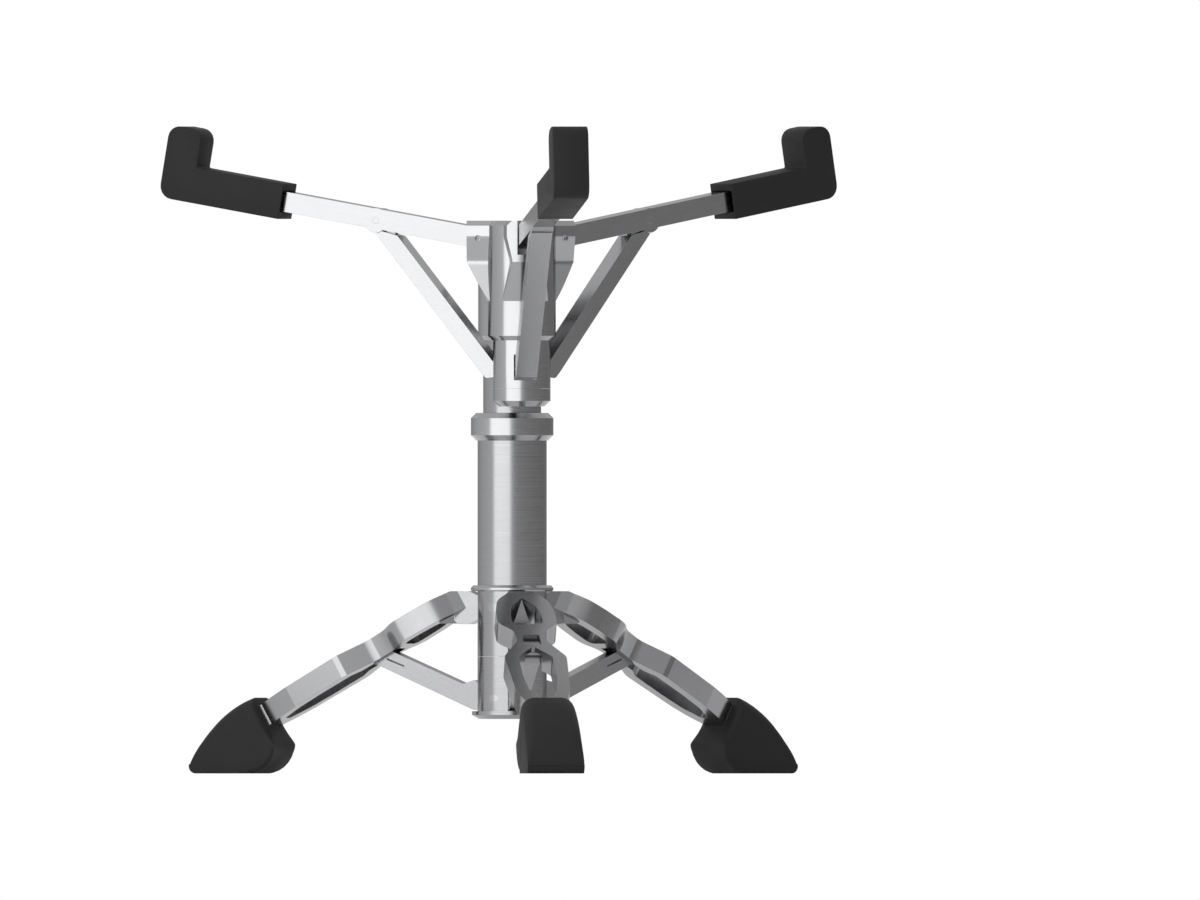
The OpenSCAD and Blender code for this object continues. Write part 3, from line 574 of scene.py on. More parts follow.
def object_from(bm, name, material):
    """Object in the scene made of a finished bmesh, with its one material."""
    mesh = bpy.data.meshes.new(name)
    bm.to_mesh(mesh)
    bm.free()
    mesh.materials.append(material)
    made = bpy.data.objects.new(name, mesh)
    bpy.context.scene.collection.objects.link(made)
    return made


def piece_from(bm, name, material, body):
    """Piece of the stand made of a bmesh, with its finish and the body that it rides on."""
    bmesh.ops.remove_doubles(bm, verts=bm.verts, dist=MERGE_DISTANCE)
    bmesh.ops.recalc_face_normals(bm, faces=bm.faces)
    piece = object_from(bm, name, material)
    piece.data.shade_smooth()
    piece.data.set_sharp_from_angle(angle=SHARP_ANGLE)
    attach(piece, body)
    return piece


def out_from_post(side):
    """Place of a frame whose x runs out from the post's axis along a leg."""
    return Matrix.Translation((*post_axis, 0)) @ Matrix.Rotation(SIDE_ANGLES[side], 4, "Z")


def add_prism(bm, points, half):
    """Add a closed prism of an outline in x and z that is half wide on each side of the middle."""
    face = bm.faces.new([bm.verts.new((x, -half, z)) for x, z in points])
    copied = bmesh.ops.extrude_face_region(bm, geom=[face], use_keep_orig=True)["geom"]
    for vert in (g for g in copied if isinstance(g, bmesh.types.BMVert)):
        vert.co.y = half


def add_loft(bm, sections):
    """Add a closed loft through sections, each a list of corners in the same order."""
    rings = [[bm.verts.new(corner) for corner in section] for section in sections]
    for here, onward in zip(rings, rings[1:]):
        for k in range(len(here)):
            bm.faces.new((here[k], here[k - 1], onward[k - 1], onward[k]))
    bm.faces.new(rings[0])
    bm.faces.new(rings[-1])


def arc_points(start, end, radius, steps):
    """Points of an arc that bulges to the left of the way from start to end, both ends left out."""
    start, end = Vector(start), Vector(end)
    along = end - start
    normal = Vector((-along.y, along.x)).normalized()
    centre = (start + end) / 2 - normal * math.sqrt(radius**2 - (along.length / 2) ** 2)
    first = math.atan2(*(start - centre).yx)
    sweep = 2 * math.asin(along.length / 2 / radius)
    angles = (first - sweep * k / steps for k in range(1, steps))
    return [centre + radius * Vector((math.cos(a), math.sin(a))) for a in angles]


def corner_points(before, corner, after, radius, steps=5):
    """Points of the arc that rounds a corner of an outline."""
    before, corner, after = Vector(before), Vector(corner), Vector(after)
    inward, outward = (before - corner).normalized(), (after - corner).normalized()
    half = inward.angle(outward) / 2
    centre = corner + (inward + outward).normalized() * (radius / math.sin(half))
    start = corner + inward * (radius / math.tan(half)) - centre
    end = corner + outward * (radius / math.tan(half)) - centre
    turn = start.angle_signed(end)
    return [centre + Matrix.Rotation(-turn * k / steps, 2) @ start for k in range(steps + 1)]


def rounded_outline(corners):
    """Outline whose corners (x, z, radius) are rounded; a corner of radius 0 stays sharp."""
    points = []
    for k, (x, z, radius) in enumerate(corners):
        before, after = corners[k - 1][:2], corners[(k + 1) % len(corners)][:2]
        points += corner_points(before, (x, z), after, radius) if radius else [Vector((x, z))]
    return points


class STAND_OT_turned_metal(bpy.types.Operator):
    """Give the collars and hubs their turned satin finish, and the tubes, the leg hub and the lower collar a
    drawn one, darkened as painted shade
    """

    bl_idname = "drum_stand.turned_metal"
    bl_label = "Turned metal"

    def execute(self, context):
        for name in TURNED_PIECES:
            put_on(name, shared_material(context, "Turned metal"))
        for name in DRAWN_AND_SHADED_PIECES:
            put_on(name, shared_material(context, "Drawn tube"))
        return {"FINISHED"}


class STAND_OT_bars(bpy.types.Operator):
    """Give the struts, arms and braces a satin finish that runs along each bar, the struts darkened as
    painted shade
    """

    bl_idname = "drum_stand.bars"
    bl_label = "Struts, arms and braces"

    def execute(self, context):
        for side in SIDES:
            for part in ("strut", "arm", "brace"):
                put_on(f"{part}_{side}", shared_material(context, f"Brushed {part} {side}"))
        return {"FINISHED"}


def mirrored(half):
    """Closed outline, rounded and in metres, of its half above the middle line."""
    corners = [*half, *((s, -w, radius) for s, w, radius in reversed(half))]
    return [Vector(point) * MM for point in rounded_outline(corners)]


class PlateShell:
    """Closed shell of a pierced plate, whose walls share their corners with its faces."""

    def __init__(self):
        self.bm = bmesh.new()
        self.corners = {}

    def corner(self, point, height):
        """The corner at a place, made when it is first asked for."""
        key = (round(point[0], 7), round(point[1], 7), round(height, 7))
        if key not in self.corners:
            self.corners[key] = self.bm.verts.new((*point, height))
        return self.corners[key]

    def face(self, places):
        """Face through places, each a point and its height."""
        self.bm.faces.new([self.corner(point, height) for point, height in places])

    def wall(self, columns, closed=True):
        """Wall along columns, each a point and its heights from the top down."""
        onward = columns[1:] + columns[:1] if closed else columns[1:]
        for (here, heights), (there, other_heights) in zip(columns, onward):
            down = [(there, height) for height in other_heights]
            self.face([(here, height) for height in reversed(heights)] + down)

    def cap(self, outlines, height):
        """Flat face at one height inside the first outline and outside the others."""
        edges = []
        for outline in outlines:
            loop = [self.corner(point, height) for point in outline]
            for pair in zip(loop, loop[1:] + loop[:1]):
                edges.append(self.bm.edges.get(pair) or self.bm.edges.new(pair))
        bmesh.ops.triangle_fill(self.bm, use_beauty=True, edges=edges)


def split_window(window, half):
    """Parts of a window that are wider and narrower than a slot, each with the points where they meet."""
    first = next(k for k, point in enumerate(window) if point.y > half)
    share = (half - window[first - 1].y) / (window[first].y - window[first - 1].y)
    meeting = window[first - 1].lerp(window[first], share)
    across = Vector((meeting.x, -meeting.y))
    return [meeting, *window[first:-first], across], [across, *window[-first:], *window[:first], meeting]


def leg_plate(sizes):
    """Pierced plate of a leg on its slope, x along the leg and z up from its top face."""
    deep, bridge = -sizes.leg_thickness, -sizes.leg_bridge
    half, slant = SLOT_HALF_WIDTH * MM, -SLOT_SLANT_DEPTH * MM
    start, end, foot_start = SLOT_TOP_START * MM, SLOT_TOP_END * MM, SLOT_FOOT_START * MM
    outline, upper = mirrored(LEG_OUTLINE), mirrored(LEG_UPPER_WINDOW)
    wide, narrow = split_window(mirrored(LEG_LOWER_WINDOW), half)
    meeting = wide[0].x
    shell = PlateShell()
    for loop in (outline, upper):
        shell.wall([(point, (0, deep)) for point in loop])
    ends = (wide[0], wide[-1])
    shell.wall([(point, (0, bridge, deep) if point in ends else (0, deep)) for point in wide], closed=False)
    shell.wall([(point, (0, bridge)) for point in narrow], closed=False)
    for side in (-half, half):
        profile = (
            (start, 0), (end, 0), (end, bridge), (meeting, bridge), (meeting, deep), (foot_start, deep),
            (start, slant),
        )
        shell.face([((s, side), height) for s, height in profile])
    for s, top, onward, foot in (
        (start, 0, start, slant), (start, slant, foot_start, deep), (end, 0, end, bridge),
    ):
        shell.face([((s, -half), top), ((s, half), top), ((onward, half), foot), ((onward, -half), foot)])
    shell.face([((end, -half), bridge), *((point, bridge) for point in narrow), ((end, half), bridge)])
    opening = [(start, -half), (end, -half), (end, half), (start, half)]
    shell.cap([outline, upper, opening, [*wide, *narrow[1:-1]]], 0)
    shell.cap([outline, upper, [*wide, (foot_start, -half), (foot_start, half)]], deep)
    bmesh.ops.recalc_face_normals(shell.bm, faces=shell.bm.faces)
    return shell.bm


def leg_tongue(sizes, hinge_radius, hinge_height):
    """Outline of a leg's tongue, in distance from the post's axis and height."""
    top, foot = hinge_height + sizes.tongue_height / 2, hinge_height - sizes.tongue_height / 2
    shoulder = hinge_radius + TONGUE_SHOULDER * MM
    turns = (math.radians(90 + 15 * k) for k in range(13))
    knuckle = [
        Vector((hinge_radius, hinge_height)) + KNUCKLE_RADIUS * MM * Vector((math.cos(turn), math.sin(turn)))
        for turn in turns
    ]
    end = [(sizes.leg_bend + out * MM, top - down * MM) for out, down in TONGUE_END]
    return [*knuckle, (shoulder, foot), *end, (sizes.leg_bend, top), (shoulder, top)]


def leg_root(sizes, top):
    """Sections of the root that joins a leg's tongue to its plate under the bend."""
    foot, high = top - ROOT_DEPTH * MM, top - ROOT_SINK * MM
    sections = []
    for out, flare in ROOT_STATIONS:
        half = sizes.tongue_thickness / 2 + flare * MM
        upper = high - max(0, out) * MM * math.tan(sizes.leg_slope)
        x = sizes.leg_bend + out * MM
        sections.append([(x, -half, foot), (x, half, foot), (x, half, upper), (x, -half, upper)])
    return sections


def leg_mesh(sizes, hinge):
    """Leg in a frame whose x runs out from the post's axis: its plate, tongue and root."""
    top = hinge.z + sizes.tongue_height / 2
    bm = leg_plate(sizes)
    slope = Matrix.Translation((sizes.leg_bend, 0, top)) @ Matrix.Rotation(sizes.leg_slope, 4, "Y")
    bmesh.ops.transform(bm, matrix=slope, verts=bm.verts)
    cut_off_above(bm, top - PLATE_SINK * MM)
    add_prism(bm, leg_tongue(sizes, post_axis.y - hinge.y, hinge.z), sizes.tongue_thickness / 2)
    add_loft(bm, leg_root(sizes, top))
    return bm


def cut_off_above(bm, height):
    """Cut a closed mesh off above a height and close it again."""
    bmesh.ops.bisect_plane(
        bm, geom=bm.verts[:] + bm.edges[:] + bm.faces[:], dist=0.0001 * MM, plane_co=(0, 0, height),
        plane_no=(0, 0, 1), clear_outer=True,
    )
    bmesh.ops.holes_fill(bm, edges=[e for e in bm.edges if e.is_boundary], sides=0)


class STAND_OT_legs(bpy.types.Operator):
    """Model the three legs, pierced and waisted plates with smooth flanks"""

    bl_idname = "drum_stand.legs"
    bl_label = "Legs"

    def execute(self, context):
        for side in SIDES:
            bm = leg_mesh(sizes_of(context), joint_place("leg_front_fold"))
            bmesh.ops.transform(bm, matrix=out_from_post(side), verts=bm.verts)
            metal = shared_material(context, f"Brushed leg {side}")
            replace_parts(piece_from(bm, f"leg_{side}_plate", metal, f"leg_{side}"), f"leg_{side}")
        return {"FINISHED"}


class STAND_OT_pins(bpy.types.Operator):
    """Dress the pins flush in the metal round them, and give the rod and spindle their steel"""

    bl_idname = "drum_stand.pins"
    bl_label = "Pins and bolts"

    def execute(self, context):
        for name in DRESSED_PINS:
            put_on(name, shared_material(context, "Turned metal"))
        for side in SIDES:
            put_on(f"knee_pin_{side}", shared_material(context, f"Brushed leg {side}"))
            put_on(f"brace_pin_{side}", shared_material(context, f"Brushed arm {side}"))
        for name in STEEL_PIECES:
            put_on(name, shared_material(context, "Pin steel"))
        metal = shared_material(context, "Turned metal")
        pins = piece_from(flush_pins("arm_hinge_pins"), "arm_pins_flush", metal, "basket")
        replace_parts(pins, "arm_hinge_pins")
        return {"FINISHED"}


def flush_pins(node):
    """Copy of a node's pins, whose ends are filed down with the cheeks of the hub that they sit in."""
    bm = bmesh.new()
    bm.from_mesh(frame["nodes"][node].data)
    bmesh.ops.remove_doubles(bm, verts=bm.verts, dist=2 * MERGE_DISTANCE)
    hub_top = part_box("basket_hub")[1].z
    for vert in bm.verts:
        for side in SIDES:
            out = Vector((math.cos(SIDE_ANGLES[side]), math.sin(SIDE_ANGLES[side])))
            arm = Vector((-out.y, out.x))
            place = vert.co.xy - basket_axis
            if place.normalized().dot(out) < ARM_SECTOR:
                continue
            sunk = max(0, hub_top - CHEEK_DEPTH * MM - vert.co.z)
            across = place.dot(arm)
            limit = CHEEK_HALF * MM - sunk * CHEEK_LEAN
            if abs(across) > limit:
                vert.co.xy += arm * (math.copysign(limit, across) - across)
    return bm


def knob_mesh(sizes, node, bored):
    """Cast wing knob along y where the node's own wings are; a bored one lets a bolt through."""
    low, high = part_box(node)
    span, across = (high.x - low.x) / 2, sizes.knob_radius * KNOB_SWELL
    base = Vector((middle(node).x, high.y - WING_TOP * sizes.knob_height, middle(node).z))
    bm = bmesh.new()
    bmesh.ops.create_circle(bm, segments=KNOB_FACETS, radius=1)
    half_facet = Matrix.Rotation(math.pi / KNOB_FACETS, 3, "Y")
    bmesh.ops.rotate(bm, verts=bm.verts, matrix=half_facet @ Matrix.Rotation(math.radians(-90), 3, "X"))
    loop = bm.edges[:]
    for k, (rise, radius) in enumerate(KNOB_STATIONS):
        if k:
            raised = bmesh.ops.extrude_edge_only(bm, edges=loop)["geom"]
            loop = [g for g in raised if isinstance(g, bmesh.types.BMEdge)]
        for vert in {v for e in loop for v in e.verts}:
            outward = Vector((vert.co.x, 0, vert.co.z)).normalized()
            vert.co = outward * radius * across + Vector((0, rise * sizes.knob_height, 0))
    close_knob(bm, sizes, bored)
    bmesh.ops.recalc_face_normals(bm, faces=bm.faces)
    for side in (-1, 1):
        root = max(bm.faces, key=lambda f: (side * f.normal.x > 0.98, f.calc_area()))
        for share, tuck in WING_STEPS:
            root = bmesh.ops.extrude_discrete_faces(bm, faces=[root])["faces"][0]
            reach = sizes.knob_radius + share * (span - sizes.knob_radius)
            foot = (WING_FOOT + WING_FOOT_RISE * share + tuck) * sizes.knob_height
            top = (WING_ROOT_TOP + (WING_TOP - WING_ROOT_TOP) * share - tuck) * sizes.knob_height
            middle_y = root.calc_center_median().y
            for vert in root.verts:
                height = foot if vert.co.y < middle_y else top
                vert.co = (side * reach, height, math.copysign(sizes.wing_thickness / 2, vert.co.z))
    bmesh.ops.translate(bm, verts=bm.verts, vec=base)
    return bm


def close_knob(bm, sizes, bored):
    """Close both ends of a knob's boss, with a bore between them where a bolt goes through."""
    ends = bmesh.ops.holes_fill(bm, edges=bm.edges, sides=0)["faces"]
    rim = sizes.knob_radius - sizes.bolt_radius * KNOB_BORE if bored else KNOB_INSET * MM
    bmesh.ops.inset_individual(bm, faces=ends, thickness=rim)
    if bored:
        edges = [e for f in ends for e in f.edges]
        bmesh.ops.delete(bm, geom=ends, context="FACES_ONLY")
        bmesh.ops.bridge_loops(bm, edges=edges)


def threaded_rod(sizes, node, radius, plain, end=None):
    """Rod along y in the node's place, threaded behind its plain length, its far end chamfered."""
    low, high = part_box(node)
    far = high.y if end is None else end
    bm = bmesh.new()
    bmesh.ops.create_circle(bm, segments=THREAD_FACETS, radius=radius)
    bmesh.ops.rotate(bm, verts=bm.verts, matrix=Matrix.Rotation(math.radians(-90), 3, "X"))
    bmesh.ops.translate(bm, verts=bm.verts, vec=(middle(node).x, low.y, middle(node).z))
    step = sizes.thread_pitch / THREAD_RINGS
    rings = max(1, round((far - low.y - plain) / step))
    loop = bm.edges[:]
    for rise in [plain] + [step] * rings:
        raised = bmesh.ops.extrude_edge_only(bm, edges=loop)["geom"]
        loop = [g for g in raised if isinstance(g, bmesh.types.BMEdge)]
        verts = [g for g in raised if isinstance(g, bmesh.types.BMVert)]
        bmesh.ops.translate(bm, verts=verts, vec=(0, rise, 0))
    bmesh.ops.holes_fill(bm, edges=bm.edges, sides=0)
    thread_start, thread_end = low.y + plain, low.y + plain + rings * step
    for vert in bm.verts:
        out = Vector((vert.co.x - middle(node).x, vert.co.z - middle(node).z))
        turn = math.atan2(out.y, out.x) / math.tau
        groove = 2 * abs((vert.co.y / sizes.thread_pitch - turn) % 1 - 0.5)
        depth = groove * THREAD_DEPTH * sizes.thread_pitch if vert.co.y > thread_start + step / 2 else 0
        depth = max(depth, THREAD_DEPTH * sizes.thread_pitch - (thread_end - vert.co.y))
        out *= (radius - depth) / radius
        vert.co.x, vert.co.z = middle(node).x + out.x, middle(node).z + out.y
    return bm


class STAND_OT_knobs(bpy.types.Operator):
    """Model the cast wing knobs of the height screw and the tilt nut, and the tilt bolt with its thread"""

    bl_idname = "drum_stand.knobs"
    bl_label = "Wing knobs and tilt bolt"

    def execute(self, context):
        sizes, steel = sizes_of(context), shared_material(context, "Pin steel")
        cast = shared_material(context, "Cast knob metal")
        for node, body, bored in (
            ("height_wing_screw", "height_screw", False), ("tilt_wing_nut", "tilt_nut", True),
        ):
            knob = piece_from(knob_mesh(sizes, node, bored), f"{node}_knob", cast, body)
            smooth = knob.modifiers.new("Cast corners", "SUBSURF")
            smooth.levels = smooth.render_levels = 2
            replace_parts(knob, node)
        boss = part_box("height_wing_screw")[1].y - (WING_TOP - SCREW_IN_KNOB) * sizes.knob_height
        screw = threaded_rod(sizes, "height_wing_screw", sizes.screw_radius, SCREW_PLAIN * MM, boss)
        shank = piece_from(screw, "height_screw_shank", steel, "height_screw")
        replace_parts(shank, "height_wing_screw")
        bolt_low, bolt_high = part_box("tilt_bolt")
        tail = bolt_high.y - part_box("tilt_wing_nut")[0].y
        bolt = threaded_rod(sizes, "tilt_bolt", sizes.bolt_radius, bolt_high.y - bolt_low.y - tail)
        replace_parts(piece_from(bolt, "tilt_bolt_thread", steel, "tilter"), "tilt_bolt")
        return {"FINISHED"}


class STAND_OT_plastic(bpy.types.Operator):
    """Give the bushing, the plug and the washer their moulded plastic"""

    bl_idname = "drum_stand.plastic"
    bl_label = "Plastic bushing and washers"

    def execute(self, context):
        for name in PLASTIC_PIECES:
            put_on(name, shared_material(context, "Black plastic"))
        return {"FINISHED"}


def foot_mesh(sizes):
    """Rubber foot in a frame whose x runs out from the post's axis, lofted from heel to toe."""
    low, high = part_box("foot_front")
    toe, heel, height = post_axis.y - low.y, post_axis.y - high.y, high.z
    upper = foot_upper_line(sizes, heel, toe, height)
    brow, sole_half = upper[-1], (high.x - low.x) / 2 - FOOT_PLAY * MM
    heel_curve, tip = HEEL_CURVE * MM, TOE_RADIUS * MM
    stations = sorted({
        *(round(point.x, 7) for point in upper),
        *(heel + heel_curve * (1 - math.cos(k / HEEL_STEPS * math.pi / 2)) for k in range(HEEL_STEPS + 1)),
        *(toe - tip * (1 - math.sin(k / TOE_STEPS * math.pi / 2)) for k in range(TOE_STEPS + 1)),
    })
    sections = []
    for x in stations:
        bottom, top = 0.0, height_on(upper, x)
        if x < heel + heel_curve:
            bottom = heel_curve - math.sqrt(max(0, heel_curve**2 - (heel + heel_curve - x) ** 2))
        if x > toe - tip:
            rise = math.sqrt(max(0, tip**2 - (x - toe + tip) ** 2))
            bottom = tip - rise
            top = min(top, tip + rise) if x > brow.x else top
        top = max(top, bottom + LEAST_HEIGHT * MM)
        outline = foot_section(sizes, sole_half, height, bottom, top, x < heel + heel_curve)
        sections.append([(x, y, max(z, 0)) for y, z in outline])
    bm = bmesh.new()
    add_loft(bm, sections)
    bmesh.ops.remove_doubles(bm, verts=bm.verts, dist=2 * MERGE_DISTANCE)
    bmesh.ops.recalc_face_normals(bm, faces=bm.faces)
    return bm


def foot_upper_line(sizes, heel, toe, height):
    """Upper side line of a foot, from its back over the ridge and the crown to the brow."""
    back, ridge = (heel, BACK_HEIGHT * MM), Vector((heel + RIDGE_FROM_HEEL * MM, height))
    brow = Vector((toe - BROW_FROM_TOE * MM, BROW_HEIGHT * MM))
    crown = arc_points(ridge, brow, sizes.foot_crown_radius, CROWN_STEPS)
    return [
        *corner_points((heel, 0), back, ridge, BACK_CORNER * MM),
        *corner_points(back, ridge, crown[1], RIDGE_CORNER * MM), *crown[1:], brow,
    ]


def foot_section(sizes, sole_half, height, bottom, top, at_heel):
    """Rounded cross section of a foot between two heights, narrower and softer the higher it stands."""
    tall = top - bottom
    softness = min(1, LOWEST_SOFTNESS + (1 - LOWEST_SOFTNESS) * tall / (FULLY_SOFT * height))
    top_edge = min(sizes.foot_edge, CORNER_SHARE * tall) * softness
    low_edge = min(HEEL_EDGE * MM, CORNER_SHARE * tall) if at_heel else SOLE_EDGE * MM
    shoulder = sole_half + (sizes.foot_top_width / 2 - sole_half) * (top / height) ** 3
    half = [(sole_half, bottom, low_edge), (shoulder, top, top_edge)]
    return rounded_outline([*half, *((-y, z, radius) for y, z, radius in reversed(half))])


def height_on(line, x):
    """Height of a line of points, which run on in x, at x."""
    for here, onward in zip(line, line[1:]):
        if x <= onward.x:
            return here.y + (onward.y - here.y) * max(0, x - here.x) / max(onward.x - here.x, 1e-9)
    return line[-1].y


def pad_mesh(sizes):
    """Rubber pad in a frame whose x runs out along its arm from the arm's hinge."""
    half = sizes.pad_width / 2
    inner, top_corner = sizes.pad_end - 2 * half, PAD_TOP_CORNER * MM
    outline = rounded_outline([
        (sizes.pad_start, -half, 0), (sizes.pad_end, -half, PAD_HEEL_CORNER * MM),
        (sizes.pad_end, sizes.pad_rise, top_corner), (inner, sizes.pad_rise, top_corner),
        (inner, half, PAD_INNER_CORNER * MM), (sizes.pad_start, half, 0),
    ])
    bm = bmesh.new()
    add_prism(bm, outline, half)
    bmesh.ops.recalc_face_normals(bm, faces=bm.faces)
    mouth = min(bm.faces, key=lambda f: f.calc_center_median().x)
    bmesh.ops.inset_individual(bm, faces=[mouth], thickness=PAD_WALL * MM)
    for vert in mouth.verts:
        vert.co.z = math.copysign(sizes.pad_gape / 2, vert.co.z)
    pushed = bmesh.ops.extrude_discrete_faces(bm, faces=[mouth])["faces"]
    bmesh.ops.translate(bm, verts=list({v for f in pushed for v in f.verts}), vec=(sizes.pad_mouth, 0, 0))
    rims = [
        e for e in bm.edges
        if len(e.link_faces) == 2 and e.calc_face_angle(0) > math.radians(40)
        and not is_inside_mouth(e, sizes)
    ]
    bmesh.ops.bevel(
        bm, geom=rims, offset=PAD_EDGE * MM, affect="EDGES", segments=2, profile=0.5, material=-1,
        clamp_overlap=True,
    )
    return bm


def is_inside_mouth(edge, sizes):
    """True for the edges at the bottom of a pad's mouth."""
    return all(abs(v.co.x - sizes.pad_start - sizes.pad_mouth) < 0.01 * MM for v in edge.verts)


class STAND_OT_rubber_feet(bpy.types.Operator):
    """Model the three rubber feet, crowned towards the toe"""

    bl_idname = "drum_stand.rubber_feet"
    bl_label = "Rubber feet"

    def execute(self, context):
        for side in SIDES:
            bm = foot_mesh(sizes_of(context))
            bmesh.ops.transform(bm, matrix=out_from_post(side), verts=bm.verts)
            rubber = shared_material(context, "Black rubber")
            piece = piece_from(bm, f"rubber_foot_{side}", rubber, f"leg_{side}")
            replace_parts(piece, f"foot_{side}")
        return {"FINISHED"}


class STAND_OT_arm_pads(bpy.types.Operator):
    """Model the three rubber pads that hold the drum's rim"""

    bl_idname = "drum_stand.arm_pads"
    bl_label = "Arm pads"

    def execute(self, context):
        sizes = sizes_of(context)
        hinge = joint_place("arm_front_grip")
        hinge_radius = basket_axis.y - hinge.y
        for side in SIDES:
            bm = pad_mesh(sizes)
            place = (
                Matrix.Translation((*basket_axis, hinge.z))
                @ Matrix.Rotation(SIDE_ANGLES[side], 4, "Z")
                @ Matrix.Translation((hinge_radius, 0, 0))
                @ Matrix.Rotation(-sizes.arm_slope, 4, "Y")
            )
            bmesh.ops.transform(bm, matrix=place, verts=bm.verts)
            rubber = shared_material(context, "Black rubber")
            piece = piece_from(bm, f"rubber_pad_{side}", rubber, f"arm_{side}")
            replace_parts(piece, f"pad_{side}")
        return {"FINISHED"}


CAMERA_TURN = math.radians(-7.5)
FRAME_WIDTH = 215.05 * MM
POST_LEFT_OF_MIDDLE = 15.74 * MM
FRAME_MIDDLE_HEIGHT = 57.97 * MM
CAMERA_DISTANCE = 1.5
# Brightness of the screen by the angle to the right of the camera, in shares from fill (0) to key (1)
SCREEN_TONES = (
    (-180, 0.0), (-150, 0.06), (-120, 0.2), (-86, 0.27), (-67, 0.32), (-60, 0.97), (-45, 1.0),
    (-9, 0.96), (-2, 0.3), (8, 0.1), (20, 0.05), (60, 0.02), (140, 0.0), (180, 0.0),
)
SCREEN_RADIUS = 0.9
SCREEN_HEIGHT = 2.0
# Heights between which the screen fades to its even upper tone, and how far it does
FADE_START, FADE_END, FADE_SHARE = 0.12, 0.45, 0.6
UPPER_TONE = 0.95


def light_screen(light):
    """Round paper screen that lights the stand: bright at the left front, dim at the right and behind."""
    material = bpy.data.materials.new("Light screen")
    bench = cleared_bench(material)
    place = bench.add("ShaderNodeTexCoord").outputs["Object"]
    facing = bench.add("ShaderNodeMapping", vector_type="TEXTURE")
    facing.inputs["Location"].default_value = (*post_axis, 0)
    facing.inputs["Rotation"].default_value = (0, 0, CAMERA_TURN - math.radians(90))
    bench.link(place, facing.inputs["Vector"])
    around = bench.add("ShaderNodeTexGradient", gradient_type="RADIAL")
    bench.link(facing.outputs["Vector"], around.inputs["Vector"])
    tones = bench.add("ShaderNodeValToRGB")
    ramp = tones.color_ramp
    while len(ramp.elements) < len(SCREEN_TONES):
        ramp.elements.new(0.5)
    for stop, (angle, share) in zip(ramp.elements, SCREEN_TONES):
        stop.position = angle / 360 + 0.5
        stop.color = (share, share, share, 1)
    bench.link(around.outputs["Fac"], tones.inputs["Fac"])
    spread = bench.math("MULTIPLY", tones.outputs["Color"], light.key - light.fill)
    level = bench.math("ADD", spread, light.fill)
    parts = bench.add("ShaderNodeSeparateXYZ")
    bench.link(place, parts.inputs["Vector"])
    fade = bench.add("ShaderNodeMapRange")
    fade.inputs["From Min"].default_value = FADE_START
    fade.inputs["From Max"].default_value = FADE_END
    fade.inputs["To Max"].default_value = FADE_SHARE
    bench.link(parts.outputs["Z"], fade.inputs["Value"])
    mixed = bench.add("ShaderNodeMix", data_type="FLOAT")
    mixed.inputs["B"].default_value = UPPER_TONE
    bench.link(level, mixed.inputs["A"])
    bench.link(fade.outputs["Result"], mixed.inputs["Factor"])
    glow = bench.add("ShaderNodeEmission")
    bench.link(mixed.outputs["Result"], glow.inputs["Strength"])
    bench.link(glow.outputs["Emission"], bench.add("ShaderNodeOutputMaterial").inputs["Surface"])
    bm = bmesh.new()
    bmesh.ops.create_circle(bm, segments=72, radius=SCREEN_RADIUS)
    raised = bmesh.ops.extrude_edge_only(bm, edges=bm.edges)["geom"]
    top = [g for g in raised if isinstance(g, bmesh.types.BMVert)]
    bmesh.ops.translate(bm, verts=top, vec=(0, 0, SCREEN_HEIGHT))
    bmesh.ops.translate(bm, verts=bm.verts, vec=(*post_axis, -0.001))
    screen = object_from(bm, "light_screen", material)
    screen.visible_camera = False


def background_rays(bench):
    """1 for the rays that show the background: from the camera, in gloss and through glass."""
    rays = bench.add("ShaderNodeLightPath")
    seen = bench.math("ADD", rays.outputs["Is Camera Ray"], rays.outputs["Is Glossy Ray"])
    seen = bench.math("ADD", seen, rays.outputs["Is Transmission Ray"])
    return bench.math("MINIMUM", seen, 1.0)


def room_light(context, ambient):
    """World that is white to the camera, to gloss and through glass, and an even light on matt surfaces."""
    world = bpy.data.worlds.new("Studio room")
    bench = cleared_bench(world)
    tone = bench.add("ShaderNodeMix", data_type="RGBA")
    tone.inputs["A"].default_value = (ambient, ambient, ambient, 1)
    tone.inputs["B"].default_value = (1, 1, 1, 1)
    bench.link(background_rays(bench), tone.inputs["Factor"])
    background = bench.add("ShaderNodeBackground")
    bench.link(tone.outputs["Result"], background.inputs["Color"])
    bench.link(background.outputs["Background"], bench.add("ShaderNodeOutputWorld").inputs["Surface"])
    context.scene.world = world


# White that the floor adds to its own light where it is seen or mirrored
FLOOR_GLOW = 0.25


def floor_piece():
    """Plain pale floor under the stand, whose share of white light in the background keeps the shadow."""
    material, bench, shader = new_material("Pale floor")
    shader.inputs["Base Color"].default_value = (0.82, 0.82, 0.82, 1)
    shader.inputs["Roughness"].default_value = 0.8
    shader.inputs["Emission Color"].default_value = (1, 1, 1, 1)
    glow = bench.math("MULTIPLY", background_rays(bench), FLOOR_GLOW)
    bench.link(glow, shader.inputs["Emission Strength"])
    bm = bmesh.new()
    bmesh.ops.create_grid(bm, x_segments=1, y_segments=1, size=4)
    floor = object_from(bm, "floor", material)


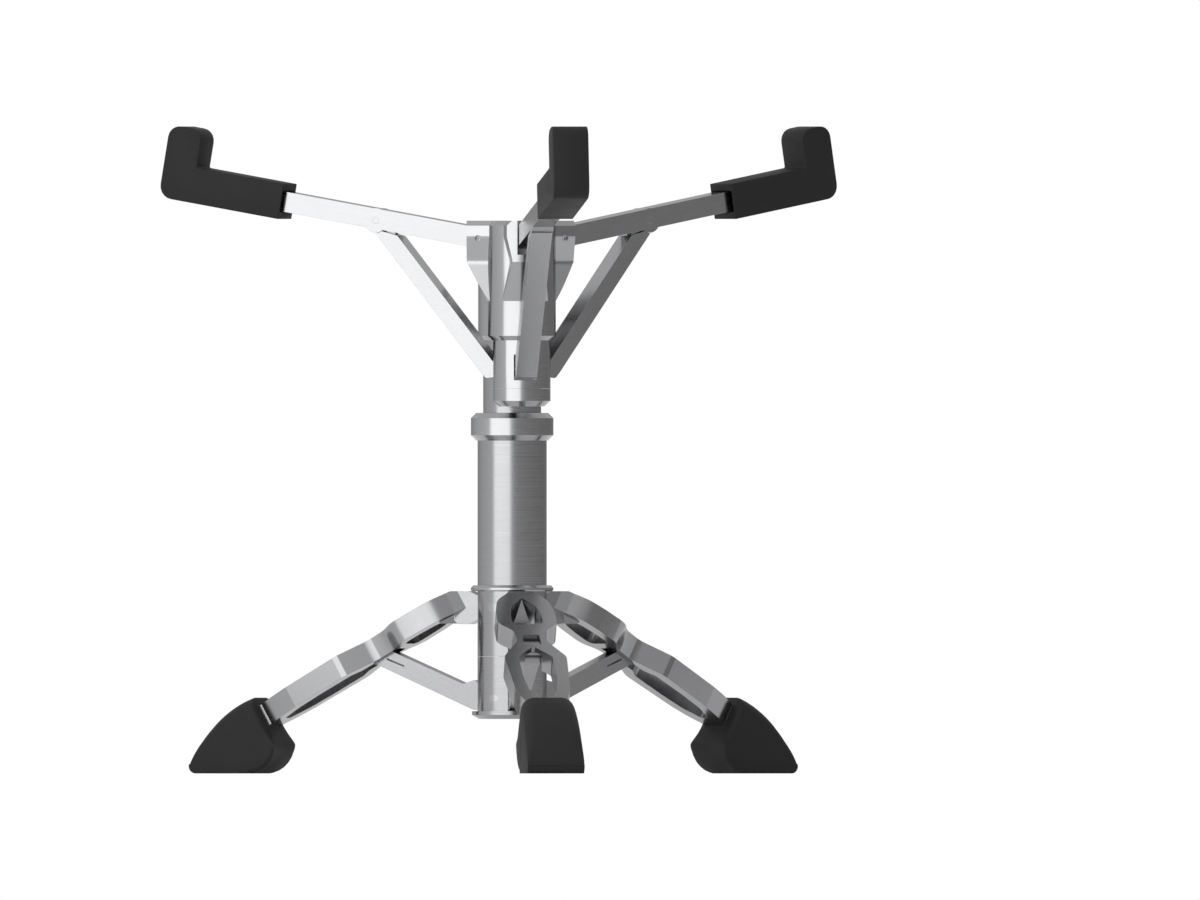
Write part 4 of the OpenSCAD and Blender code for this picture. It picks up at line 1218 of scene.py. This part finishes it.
def stand_camera(context):
    """Level orthographic camera, turned as the photograph's view is."""
    camera = bpy.data.objects.new("camera", bpy.data.cameras.new("camera"))
    context.scene.collection.objects.link(camera)
    context.scene.camera = camera
    camera.data.type = "ORTHO"
    camera.data.ortho_scale = FRAME_WIDTH
    away = Vector((math.sin(CAMERA_TURN), -math.cos(CAMERA_TURN), 0))
    right = Vector((math.cos(CAMERA_TURN), math.sin(CAMERA_TURN), 0))
    aim = Vector((*post_axis, FRAME_MIDDLE_HEIGHT)) + right * POST_LEFT_OF_MIDDLE
    camera.location = aim + away * CAMERA_DISTANCE
    camera.rotation_euler = (-away).to_track_quat("-Z", "Y").to_euler()
    camera.data.clip_end = 20


class STAND_OT_studio(bpy.types.Operator):
    """Set up the pale floor, the light screen and the camera"""

    bl_idname = "drum_stand.studio"
    bl_label = "Studio"

    def execute(self, context):
        light = context.scene.studio_light
        context.scene.view_settings.view_transform = "Standard"
        room_light(context, light.ambient)
        floor_piece()
        light_screen(light)
        stand_camera(context)
        return {"FINISHED"}


PIECE_OPERATORS = (
    STAND_OT_turned_metal, STAND_OT_legs, STAND_OT_bars, STAND_OT_pins, STAND_OT_knobs,
    STAND_OT_plastic, STAND_OT_rubber_feet, STAND_OT_arm_pads, STAND_OT_studio,
)


class STAND_PT_pieces(bpy.types.Panel):
    """Lists the stand's pieces in the sidebar"""

    bl_idname = "STAND_PT_pieces"
    bl_label = "Drum stand"
    bl_space_type = "VIEW_3D"
    bl_region_type = "UI"
    bl_category = "Drum stand"

    def draw(self, context):
        for group in (context.scene.stand_finish, context.scene.stand_sizes, context.scene.studio_light):
            for name in group.__annotations__:
                self.layout.prop(group, name)
        for operator in PIECE_OPERATORS:
            self.layout.operator(operator.bl_idname)


CLASSES = (StandFinish, StandSizes, StudioLight, *PIECE_OPERATORS, STAND_PT_pieces)


def register():
    for cls in CLASSES:
        bpy.utils.register_class(cls)
    bpy.types.Scene.stand_finish = PointerProperty(type=StandFinish)
    bpy.types.Scene.stand_sizes = PointerProperty(type=StandSizes)
    bpy.types.Scene.studio_light = PointerProperty(type=StudioLight)


def unregister():
    del bpy.types.Scene.studio_light
    del bpy.types.Scene.stand_sizes
    del bpy.types.Scene.stand_finish
    for cls in reversed(CLASSES):
        bpy.utils.unregister_class(cls)


def main():
    """Make every piece in order."""
    register()
    for operator in PIECE_OPERATORS:
        getattr(bpy.ops.drum_stand, operator.bl_idname.split(".")[1])()


if __name__ == "__main__":
    main()
